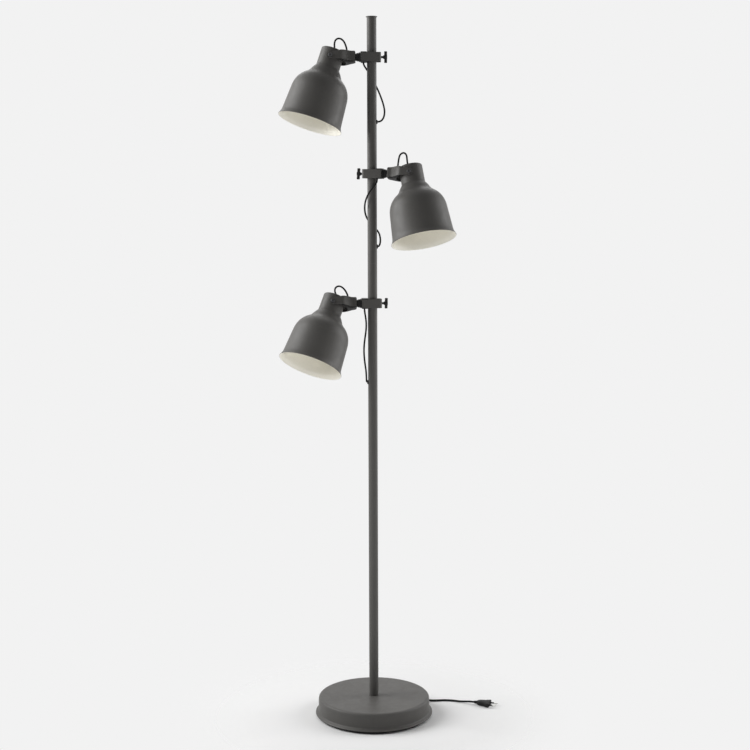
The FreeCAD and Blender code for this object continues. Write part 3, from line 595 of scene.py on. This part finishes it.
# ---------------- clamps
# A band of painted steel bent to a rounded rectangle goes round the pole. A black nylon block in its arm side
# and a shoe behind the screw press a split sleeve on the pole, so that the head slides and turns when slack.
def prism(outline, low, high):
    """A straight piece standing on an outline of (along, across) points."""
    corners = [(u, v, w) for w in (low, high) for u, v in outline]
    return corners, between_rings(2, len(outline), ends=True)


def looped(corners, around):
    """Rings of corners that run round a wall's section, and the faces over them back to the first ring."""
    faces = between_rings(len(corners) // around + 1, around)
    return corners, [[k % len(corners) for k in face] for face in faces]


def band(outer, inner, low, high):
    """A hoop between two outlines with matching points."""
    rims = [(outer, low), (outer, high), (inner, high), (inner, low)]
    return looped([(u, v, w) for rim, w in rims for u, v in rim], len(outer))


def arc(radius, first, last, steps):
    """Points of an arc about the pole's axis, from one angle to another in degrees."""
    turn = (last - first) / steps
    return [(radius * math.cos(math.radians(first + turn * i)), radius * math.sin(math.radians(first + turn * i)))
            for i in range(steps + 1)]


BAND_BACK = -23.0
BAND_FRONT = 27.0
BAND_HALF = 16.0
BAND_WALL = 2.0
along_arm = Matrix.Rotation(math.radians(90.0), 4, "Y")


def bored(obj, drill):
    """The object's mesh with the drill cut out of it, and the drill gone."""
    for modifier in obj.modifiers:
        modifier.show_viewport = False
    cut = obj.modifiers.new("bore", "BOOLEAN")
    cut.operation = "DIFFERENCE"
    cut.solver = "EXACT"
    cut.object = drill
    bpy.context.view_layer.update()
    mesh = bpy.data.meshes.new_from_object(obj.evaluated_get(bpy.context.evaluated_depsgraph_get()))
    obj.modifiers.remove(cut)
    for modifier in obj.modifiers:
        modifier.show_viewport = True
    obj.data = mesh
    bpy.data.objects.remove(drill)


def hoop_outline(inset, back_fillet, front_fillet):
    """The band's rounded rectangle, drawn in by its wall for the inner side."""
    back, front, half = BAND_BACK + inset, BAND_FRONT - inset, BAND_HALF - inset
    return filleted([(back, -half, back_fillet), (front, -half, front_fillet), (front, half, front_fillet),
                     (back, half, back_fillet)], 6)


hoop_outer = hoop_outline(0.0, 7, 2.6)
hoop_inner = hoop_outline(BAND_WALL, 5.2, 0.9)
LINER_RADIUS = 13.05
BLOCK_FACE = 25.0
BLOCK_HALF = 13.95
block_rear = filleted([(BLOCK_FACE, -BLOCK_HALF, 2.4), (BLOCK_FACE, BLOCK_HALF, 2.4), (3.0, BLOCK_HALF, 0.8)], 5)
block_outline = ([p for p in block_rear if p[0] > 2.9][:-1] + arc(LINER_RADIUS, 76.7, -76.7, 22)
                 + [(3.0, -BLOCK_HALF)])
flange_outline = filleted([(13.3, -16.4, 1), (27.05, -16.4, 2.6), (27.05, 16.4, 2.6), (13.3, 16.4, 1)], 4)
shoe_outline = [(-15, -9), (-15, 9)] + arc(LINER_RADIUS, 136.4, 223.6, 14)
sleeve_outline = arc(13.0, 94.4, 445.6, 60) + arc(11.85, 445.1, 94.9, 60)

bare_zinc = skinned("zinc_plate", moulded, relief=0.00003, metallic=1.0, colour=(0.56, 0.56, 0.54, 1.0),
                    tone=0.10, grain_scale=900.0, roughness=0.30)
dark_zinc = skinned("black_zinc_plate", moulded, relief=0.00003, metallic=0.6, colour=(0.05, 0.05, 0.052, 1.0),
                    tone=0.10, grain_scale=1100.0, roughness=0.45)
SCREW_BORE = 3.05
bush = filleted([(SCREW_BORE, -22, 0.2), (5.5, -22, 0), (5.5, -17, 0.7), (SCREW_BORE, -17, 0.4)], 3)
bore = [(0, -25), (SCREW_BORE, -25), (SCREW_BORE, -19.5), (0, -19.5)]
for head, lamp in LAMPS.items():
    clamp = in_clamp(lamp)
    hoop = made("clamp_band_" + head, band(hoop_outer, hoop_inner, -11.25, 11.25), [grey_coat], clamp, rolled=0.45)
    bored(hoop, made("clamp_drill_" + head, turned(bore, 40), [grey_coat], clamp @ along_arm))
    nut = made("clamp_bush_" + head, turned(bush, 40), [grey_coat], clamp @ along_arm)
    block = made("clamp_saddle_" + head, prism(block_outline, -12.4, 12.4), [black_moulding], clamp, rolled=0.5)
    shoe = made("clamp_shoe_" + head, prism(shoe_outline, -8.0, 8.0), [black_moulding], clamp, rolled=0.5)
    sleeve = made("clamp_sleeve_" + head, prism(sleeve_outline, -10.0, 10.0), [black_moulding], clamp, rolled=0.2)
    flanges = [made("clamp_flange_" + word + "_" + head, prism(flange_outline, low, high), [black_moulding], clamp,
                    rolled=0.4) for word, low, high in (("top", 10.5, 12.6), ("under", -12.6, -10.5))]
    carried([hoop, nut], "clamp_" + head, ["clamp_ring_" + head])
    carried([block] + flanges, "clamp_" + head, ["clamp_block_" + head])
    carried([shoe], "pad_" + head, ["clamp_pad_" + head])
    carried([sleeve], "liner_" + head, ["clamp_liner_" + head])


# ---------------- wing screws
# A black zinc-plated M6 screw with a wing knob moulded on its end, turned by hand to press the shoe on the
# sleeve and so grip the pole.
def helix(radius_at, low, high, pitch, rows, around):
    """Rings of corners whose radius depends on the turns of a helix that have passed there."""
    corners = []
    for row in range(rows):
        h = low + (high - low) * row / (rows - 1)
        corners += [on_ring(radius_at(h / pitch - i / around), h, 2 * math.pi * i / around) for i in range(around)]
    return corners


def threaded(radius, low, high, pitch, depth, around=32):
    """A rod with a real helix cut into it, upright."""
    rows = int((high - low) / pitch * 10) + 1
    corners = helix(lambda turns: radius - depth * abs(2 * (turns % 1.0) - 1), low, high, pitch, rows, around)
    return corners, between_rings(rows, around, ends=True)


half_wing = [(-2.4, 2, 0), (-2.5, 7, 3), (-3.6, 12.2, 1.8), (-2.1, 14, 1.7), (2.1, 14, 1.7), (3.6, 12.2, 1.8),
             (2.5, 7, 3), (2.4, 2, 0)]
wing = filleted(half_wing + [(-u, -v, fillet) for u, v, fillet in half_wing], 4)
hub = filleted([(0, -27.9, 0), (3.8, -27.9, 0.6), (5.2, -31, 1), (5.2, -38, 1.4), (3.6, -38, 0.5),
                (3.2, -37.6, 0.3), (0, -37.6, 0)])
for head, lamp in LAMPS.items():
    turn = in_clamp(lamp) @ Matrix.Rotation(math.radians(lamp["wing"]), 4, "X")
    shank = made("screw_thread_" + head, threaded(3.0, -30.0, -15.1, 1.0, 0.55), [dark_zinc], turn @ along_arm)
    boss = made("screw_hub_" + head, turned(hub, 40), [black_moulding], turn @ along_arm)
    wings = made("screw_wings_" + head, prism(wing, -37.7, -30.7), [black_moulding], turn @ along_arm, rolled=1.1,
                 segments=4)
    carried([shank, boss, wings], "screw_" + head, ["clamp_screw_" + head])


# ---------------- arms
# The arm is pressed from one steel sheet: a flat top, two side walls folded down, a root wall that the hollow
# bolt passes through, and two tines outside the shade's neck. A black moulding makes the swivel and the belly.
ROOT = 39.6
PIVOT = (100, -3)
TINE_END = 8.5
NECK_CLEARANCE = 36.6
FOLD = 2.2
CORNER = 3.0
ROOT_HALF = 13.0
TINES_HALF = 32.0
FLARE = (48, 78)
ARM_TOP = 13.2
ARM_LOW = -11.5
SLOPE = (56, 99)
SLOPE_FALL = 7.7


def eased(share):
    share = min(max(share, 0.0), 1.0)
    return share * share * (3 - 2 * share)


def rounded_root(u):
    """What the root's rounded corner takes off an edge, from the whole radius at the root to nothing."""
    into_corner = max(ROOT + CORNER - u, 0.0)
    return CORNER - math.sqrt(max(CORNER ** 2 - into_corner ** 2, 0.0))


def arm_half(u):
    """Half the arm's width: a narrow root with rounded corners, an S-shaped flare, straight tines."""
    flare = eased((u - FLARE[0]) / (FLARE[1] - FLARE[0]))
    return ROOT_HALF + (TINES_HALF - ROOT_HALF) * flare - rounded_root(u)


def arm_high(u):
    """The top's height: level behind, a rounded corner at the root, a slope down to the round tine ends."""
    slope = min(max((u - SLOPE[0]) / (SLOPE[1] - SLOPE[0]), 0.0), 1.0) ** 1.5
    return ARM_TOP - SLOPE_FALL * slope - rounded_root(u)


def neck_edge(share, clearance, inset):
    """How far out a line at this share of the arm's width runs before it meets the circle round the neck."""
    near, far = ROOT, PIVOT[0]
    for _ in range(40):
        middle = (near + far) / 2
        v = share * (arm_half(middle) - inset)
        if (PIVOT[0] - middle) ** 2 + v * v > clearance ** 2:
            near = middle
        else:
            far = middle
    return near


def stations(first, last, count):
    """Places along the arm, closer together in the root's rounded corner."""
    corner = [first + CORNER * (1 - math.cos(math.radians(angle))) for angle in (0, 22.5, 45, 67.5, 90)]
    rest = [corner[-1] + (last - corner[-1]) * (i + 1) / count for i in range(count)]
    return corner + rest


def yoke_drawing():
    """The steel arm's outer face: columns of points along it, from its middle line over the fold and down."""
    top_shares = [i / 8 for i in range(9)]
    folds = [math.radians(angle) for angle in (0.0, 22.5, 45.0, 67.5, 90.0)]
    wall_shares = [0.2, 0.4, 0.6, 0.8, 1.0]
    fold_start = len(top_shares) - 1
    web_end = neck_edge(1.0, NECK_CLEARANCE, FOLD)
    tine_start = web_end + 1.0
    tine_rows = 12
    corners = []
    faces = []

    def over_fold(u, column):
        """How far out and how high a column runs, counted from the fold's start and on down the wall."""
        edge = arm_high(u) - FOLD
        if column < len(folds):
            return arm_half(u) - FOLD + FOLD * math.sin(folds[column]), edge + FOLD * math.cos(folds[column])
        return arm_half(u), edge + (ARM_LOW - edge) * wall_shares[column - len(folds)]

    def half_arm(side):
        columns = []
        for share in top_shares:
            end_u = neck_edge(share, NECK_CLEARANCE, FOLD)
            columns.append([(u, side * share * (arm_half(u) - FOLD), arm_high(u)) for u in stations(ROOT, end_u, 16)])
        for index in range(1, len(folds) + len(wall_shares)):
            outs = [(u, over_fold(u, index)) for u in stations(ROOT, web_end, 16)]
            columns.append([(u, side * v, w) for u, (v, w) in outs])
        # beyond the top's end only the wall goes on, from its flattened fold down, out to the round tine end
        for index, column in enumerate(columns[fold_start:]):
            along = index / (len(columns) - fold_start - 1)
            for row in range(tine_rows):
                u = tine_start + (PIVOT[0] - tine_start) * (row + 1) / tine_rows
                flat = eased((row + 1) / 3)
                v, w = over_fold(u, index)
                w_flat = arm_high(u) + (ARM_LOW - arm_high(u)) * along
                column.append((u, side * (v + (arm_half(u) - v) * flat), w + (w_flat - w) * flat))
            w_end = column[-1][2]
            lean = math.asin(min(max((w_end - PIVOT[1]) / TINE_END, -1.0), 1.0))
            for step in (0.35, 0.7, 0.9, 1):
                column.append((PIVOT[0] + TINE_END * math.cos(lean) * step, side * arm_half(PIVOT[0]), w_end))
        return columns

    index_of = {}

    def corner(point):
        key = tuple(round(x, 4) for x in point)
        if key not in index_of:
            index_of[key] = len(corners)
            corners.append(point)
        return index_of[key]

    halves = [half_arm(1), half_arm(-1)]
    for side, columns in zip((1, -1), halves):
        for left, right in zip(columns, columns[1:]):
            for row in range(min(len(left), len(right)) - 1):
                quad = [corner(left[row]), corner(left[row + 1]), corner(right[row + 1]), corner(right[row])]
                quad = list(dict.fromkeys(quad))
                if len(quad) > 2:
                    faces.append(quad[::side])
    root = [corner(column[0]) for column in halves[0][::-1]] + [corner(column[0]) for column in halves[1][1:]]
    faces.append(list(dict.fromkeys(root)))
    return corners, faces


def belly_drawing():
    """The black shell under the arm: rounded across, deepest before the neck, closed at the root."""
    depths = [(39.6, -11.2), (40.6, -12.4), (43, -13.4), (46, -14.2), (50, -15), (54, -15.7),
              (59, -16.2), (64, -16.2), (69, -15.6), (74, -14.4), (78, -13), (82, -12)]

    def depth(u):
        for (u0, w0), (u1, w1) in zip(depths, depths[1:]):
            if u <= u1:
                return w0 + (w1 - w0) * (u - u0) / (u1 - u0)
        return depths[-1][1]

    seat = -10.6
    inset = 0.9
    columns = []
    slices = 20
    for i in range(slices + 1):
        angle = math.pi * i / slices
        across = math.copysign(abs(math.cos(angle)) ** 0.5, math.cos(angle))
        down = abs(math.sin(angle)) ** 0.5
        end_u = neck_edge(abs(across), NECK_CLEARANCE + inset, 0.5)
        columns.append([(u, across * (arm_half(u) - inset), seat + (depth(u) - seat) * down)
                        for u in stations(ROOT, end_u, 14)])
    rows = len(columns[0])
    faces = [[a, a + 1, a + rows + 1, a + rows] for i in range(slices)
             for a in range(i * rows, (i + 1) * rows - 1)]
    return sum(columns, []), faces


swivel = filleted([(5.05, 27.1, 0), (11.6, 27.1, 0.4), (11.6, 30.9, 0.5), (10.2, 31.4, 0.3), (10.2, 32.3, 0.3),
                   (10.8, 32.7, 0.5), (8.7, 39.5, 0.5), (5.05, 39.5, 0)], 4)
cable_bush = filleted([(2.25, -1.2, 0), (2.25, 1.5, 0.3), (2.9, 1.5, 0.4), (3.4, 0.2, 0.4), (3.4, -1.2, 0)], 4)
for head, lamp in LAMPS.items():
    arm = in_arm(lamp)
    yoke = outward(made("arm_yoke_" + head, yoke_drawing(), [grey_coat], arm, rolled=0.35, sheet=1.8))
    belly = outward(made("arm_belly_" + head, belly_drawing(), [black_moulding], arm, rolled=0.2, sheet=1.4))
    cone = made("arm_swivel_" + head, turned(swivel, 48), [black_moulding], arm @ along_arm)
    bush = made("arm_lead_bush_" + head, turned(cable_bush, 32), [black_moulding],
                arm @ Matrix.Translation((lamp["arm_lead"], 0, arm_high(1000 * lamp["arm_lead"]) / 1000)))
    carried([yoke], "arm_" + head, ["yoke_" + head])
    carried([belly, cone, bush], "arm_" + head, ["arm_shell_" + head])


# ---------------- pivot screws
# Each tine is held to the neck by a low round screw with a hexagon socket, over a black friction washer, so
# that the shade tilts and stays where it is put.
def socket_head(around=48):
    """The head upright from its seat at 0: rounded rim, and a six-sided recess in the middle."""
    head_rings = [(2.5, 0), (5.3, 0), (5.5, 0.25), (5.5, 1.7), (5.35, 2.25), (4.9, 2.65), (4.2, 2.9), (3, 3)]
    recess_rings = [(1.95, 3), (1.75, 2.8), (1.70, 1.2), (0.9, 0.9)]
    angles = [2 * math.pi * i / around for i in range(around)]
    corners = [on_ring(r, h, angle) for r, h in head_rings for angle in angles]
    for r, h in recess_rings:
        for angle in angles:
            off_flat = (angle + math.pi / 6) % (math.pi / 3) - math.pi / 6
            corners.append(on_ring(r / math.cos(off_flat), h, angle))
    return corners, between_rings(len(head_rings) + len(recess_rings), around, ends=True)


SCREW_SEAT = 0.0321
friction = filleted([(2.55, 29.25, 0), (6.5, 29.25, 0.3), (6.5, 30.12, 0.3), (2.55, 30.12, 0)], 3)
for head, lamp in LAMPS.items():
    for side, word in ((1, "far"), (-1, "near")):
        outwards = in_shade(lamp) @ Matrix.Rotation(math.radians(-90.0 * side), 4, "X")
        screw = made("pivot_screw_" + word + "_" + head, socket_head(), [dark_zinc],
                     outwards @ Matrix.Translation((0, 0, SCREW_SEAT)))
        washer = made("pivot_washer_" + word + "_" + head, turned(friction, 40), [black_moulding], outwards)
        carried([screw, washer], "shade_" + head, ["pivot_screws_" + head])


# ---------------- shades
# Each bell is spun from one steel disc: a closed neck, a small step, a full shoulder, a tall skirt that opens a
# little, and a flared rim. It is powder coated grey outside and warm white inside.
bell_outer = [
    (0, 21.5), (10, 21.5), (20, 21.45), (26.2, 21.3), (27.6, 20.9), (28.5, 20.1), (28.95, 18.8),
    (29, 16), (29.05, 5), (29.1, -6), (29.15, -16), (29.25, -21), (29.7, -24.2), (30.8, -26.6),
    (32.4, -28.7), (34.4, -31.6), (37.2, -36.2), (39.6, -40.7), (42.6, -45.2), (46.8, -49.2), (51.4, -52.9),
    (55.8, -57), (59.8, -61.8), (63, -66.6), (65.8, -72), (68.2, -78.6), (69.9, -85.6), (70.8, -92.5),
    (72.1, -110), (73.4, -128), (74.7, -146), (75.7, -156.5), (77.2, -161.4), (79, -165.5),
    (80.3, -167.9), (80.5, -168.6)]
rim_roll = [(80.35, -168.95), (79.9, -169), (79.4, -168.75)]
bell_inner = [
    (78.5, -166.9), (76.4, -162.4), (74.7, -157.3), (73.5, -146.8), (72.2, -129), (70.9, -110), (69.6, -93),
    (68.7, -86.4), (67, -79.4), (64.6, -73), (61.8, -67.6), (58.6, -62.9), (54.8, -58.2), (50.5, -54.1),
    (45.8, -50.3), (41.5, -46.2), (38.4, -41.6), (36, -37), (33.2, -32.4), (31.3, -29.6), (29.6, -27.4),
    (28.5, -24.8), (27.95, -21), (27.85, -6), (27.8, 5), (27.8, 18.6), (26.6, 20.1), (20, 20.3), (0, 20.3)]


def rounder(profile):
    """The spun profile with one more point between each two, on a smooth line through them."""
    finer = []
    count = len(profile)
    for i in range(count - 1):
        p0, p1, p2, p3 = (Vector(profile[min(max(k, 0), count - 1)]) for k in (i - 1, i, i + 1, i + 2))
        finer.append(tuple(p1))
        finer.append(tuple((p1 + p2) * 0.5625 - (p0 + p3) * 0.0625))
    return finer + [tuple(profile[-1])]


bell = rounder(bell_outer) + rim_roll + rounder(bell_inner)
white_lining = skinned("warm_white_lining", powder, relief=0.00004, specular=0.4,
                       colour=(0.90, 0.875, 0.79, 1.0), thin_colour=(0.88, 0.85, 0.79, 1.0), drift=0.02,
                       pebble_scale=1400.0, roughness=0.45, edge_width=0.0006)
BELL_SIDES = 144
# The lining starts at the rim roll's last ring. The point on the axis is a single corner.
outside_corners = (len(rounder(bell_outer)) + 1) * BELL_SIDES + 1
neck_bush = filleted([(2.25, 0, 0), (3.6, 0, 0), (3.6, 0.9, 0.5), (2.9, 1.5, 0.4), (2.25, 1.5, 0.3)], 4)
for head, lamp in LAMPS.items():
    shade = made("bell_" + head, turned(bell, BELL_SIDES), [grey_coat, white_lining], in_shade(lamp))
    for face in shade.data.polygons:
        if max(face.vertices) >= outside_corners:
            face.material_index = 1
    bush = made("neck_lead_bush_" + head, turned(neck_bush, 32), [black_moulding],
                in_shade(lamp) @ Matrix.Translation((-lamp["neck_lead"], 0, NECK_TOP)))
    carried([shade, bush], "shade_" + head, ["shade_" + head])


# ---------------- lampholders
# A white thermoplastic holder hangs from a steel bridge in each neck. Its empty socket has a rolled thread
# shell and a sprung contact at the bottom.
white_moulding = skinned("white_moulding", moulded, relief=0.00005, colour=(0.72, 0.71, 0.67, 1.0), tone=0.05,
                         grain_scale=1500.0, roughness=0.38)
brass = skinned("nickelled_shell", moulded, relief=0.00003, metallic=1.0, colour=(0.66, 0.62, 0.54, 1.0),
                tone=0.08, grain_scale=900.0, roughness=0.28)
holder = [(4, 11.9, 0), (12.5, 11.9, 1), (17, 6, 1.5), (17, -6, 1.2), (19.6, -10, 1.2)]
for ridge in range(8):
    low = -11.5 - 3.0 * ridge
    holder += [(19.6, low, 0.2), (19.1, low - 0.5, 0.2), (19.1, low - 1.1, 0.2), (19.6, low - 1.6, 0.2)]
holder += [(19.6, -36.4, 1), (17.8, -38, 0.7), (14.9, -38, 0.6), (14.9, -12.6, 0.5), (4, -12.6, 0)]
SHELL_WALL = 0.35


def thread_shell(radius, low, high, pitch, depth, rows=72, around=64):
    """The rolled shell that the lamp screws into: a thin sleeve whose wall carries a rounded helix."""
    def wave(turns):
        return radius + depth * math.cos(2 * math.pi * turns)

    inside = helix(wave, high, low, pitch, rows, around)
    outside = helix(lambda turns: wave(turns) + SHELL_WALL, low, high, pitch, rows, around)
    return looped(inside + outside, around)


contact = filleted([(0, -13, 0), (7.5, -13, 0.3), (7.5, -14, 0.3), (4.2, -14.2, 0.5), (3.2, -16, 1),
                    (0, -16.4, 0)], 4)
for head, lamp in LAMPS.items():
    place = in_shade(lamp)
    shell = made("lampholder_body_" + head, turned(filleted(holder, 3), 72), [white_moulding], place)
    sleeve = made("lampholder_thread_" + head, thread_shell(13.9, -36.6, -13.2, 3.6, 0.28), [brass], place)
    spring = made("lampholder_contact_" + head, turned(contact, 32), [brass], place)
    carried([shell, sleeve, spring], "shade_" + head, ["lampholder_" + head])


# ---------------- plug
# A flat black plug moulded on the cord: a ribbed relief, a waist to grip, a wide face and two round pins whose
# roots are sleeved.
plug_place = Matrix.Translation((0.262, 0.062, 0.00685)) @ Matrix.Rotation(math.radians(-20.0), 4, "Z")


def lofted(sections, around=48):
    """A body through flat rounded sections (along, half width, half thickness, squareness)."""
    corners = []
    for u, half_v, half_w, square in sections:
        for i in range(around):
            angle = 2 * math.pi * i / around
            c = math.cos(angle)
            s = math.sin(angle)
            corners.append((u, half_v * math.copysign(abs(c) ** (2 / square), c),
                            half_w * math.copysign(abs(s) ** (2 / square), s)))
    return corners, between_rings(len(sections), around, ends=True)


relief = [(0, 2.55, 2.55, 2), (0.3, 3.3, 3.3, 2)]
for ring in range(4):
    u = 0.8 + 2.1 * ring
    size = 3.4 + 0.32 * ring
    relief += [(u + along, size + more, size + more, 2.0)
               for along, more in ((0, 0), (1.1, 0.1), (1.3, -0.5), (1.8, -0.4))]
grip = [(8.8, 4.6, 4.6, 2.2), (9.6, 5.2, 5.2, 2.4), (12, 6.9, 6.1, 2.6), (15, 8.7, 6.7, 3)]
for rib in range(5):
    u = 17.0 + 2.6 * rib
    wide = 9.2 + 0.72 * rib
    grip += [(u, wide, 6.8, 3.4), (u + 1.2, wide + 0.3, 6.8, 3.4), (u + 1.5, wide - 0.1, 6.45, 3.4),
             (u + 2.2, wide, 6.45, 3.4)]
face = [(31, 13, 6.8, 3.8), (35, 14.8, 6.8, 4.2), (39, 16.6, 6.8, 4.6), (41.6, 17.4, 6.8, 5),
        (42.6, 17.2, 6.6, 5), (43, 16.7, 6.2, 5)]
plug = outward(made("plug_moulding", lofted(relief + grip + face), [black_moulding], plug_place))
carried([plug], "base", ["plug_body"])

pin = filleted([(0, 52, 0), (2, 52, 0), (2, 60.6, 1), (1.1, 62, 0.6), (0, 62, 0)], 4)
root = filleted([(0, 42.8, 0), (1.95, 42.8, 0), (1.95, 52.2, 0.2), (0, 52.2, 0)], 3)
pins = []
for side, word in ((-1, "left"), (1, "right")):
    seat = plug_place @ Matrix.Translation((0, side * 0.0092, 0)) @ along_arm
    tip = made("plug_pin_" + word, turned(pin, 32), [bare_zinc], seat)
    sleeve = made("plug_pin_sleeve_" + word, turned(root, 32), [black_moulding], seat)
    pins += [tip, sleeve]
carried(pins, "base", ["plug_pins"])


# ---------------- cord relief
# A black bush snaps into the base's rear wall and tapers along the cord in soft rings, so that the cord is
# never bent sharply where it leaves.
bush = [(2.52, 137, 0), (6.4, 137, 0.4), (6.4, 139.8, 0.3), (4.5, 139.8, 0), (4.5, 143.2, 0), (6.6, 143.2, 0.4),
        (6.2, 146.2, 0.8), (4.9, 147.8, 0.6)]
for ring in range(5):
    y = 148.6 + 2.9 * ring
    size = 4.75 - 0.21 * ring
    bush += [(size - less, y + along, 0.2) for less, along in ((0, 0), (0.05, 1.4), (0.65, 1.7), (0.7, 2.5))]
bush += [(3.65, 163.2, 0.2), (3.4, 164, 0.3), (2.52, 164, 0)]
through_wall = Matrix.Translation((0, 0, 0.021)) @ Matrix.Rotation(math.radians(-90.0), 4, "X")
cord_relief = made("cord_relief", turned(filleted(bush, 3), 40), [black_moulding], through_wall)
carried([cord_relief], "base", ["cord_gland"])


# ---------------- hidden works
# What the painted pieces cover: the cast weight, the nipple that clamps pole and base together, the sleeves in
# the pole, the terminals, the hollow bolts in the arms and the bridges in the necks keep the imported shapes.
casting = skinned("rough_casting", moulded, relief=0.0004, metallic=0.4, colour=(0.10, 0.095, 0.09, 1.0),
                  tone=0.35, grain_scale=420.0, roughness=0.68)
inside = {"base_weight": casting, "base_nipple": bare_zinc, "terminal_block": white_moulding,
          "pole_inserts": bare_zinc, "pole_leads": cord_sheath}
for head in LAMPS:
    inside["arm_bolt_" + head] = bare_zinc
    inside["neck_bridge_" + head] = bare_zinc
for name, material in inside.items():
    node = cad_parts[name]
    node.data.materials.clear()
    node.data.materials.append(material)
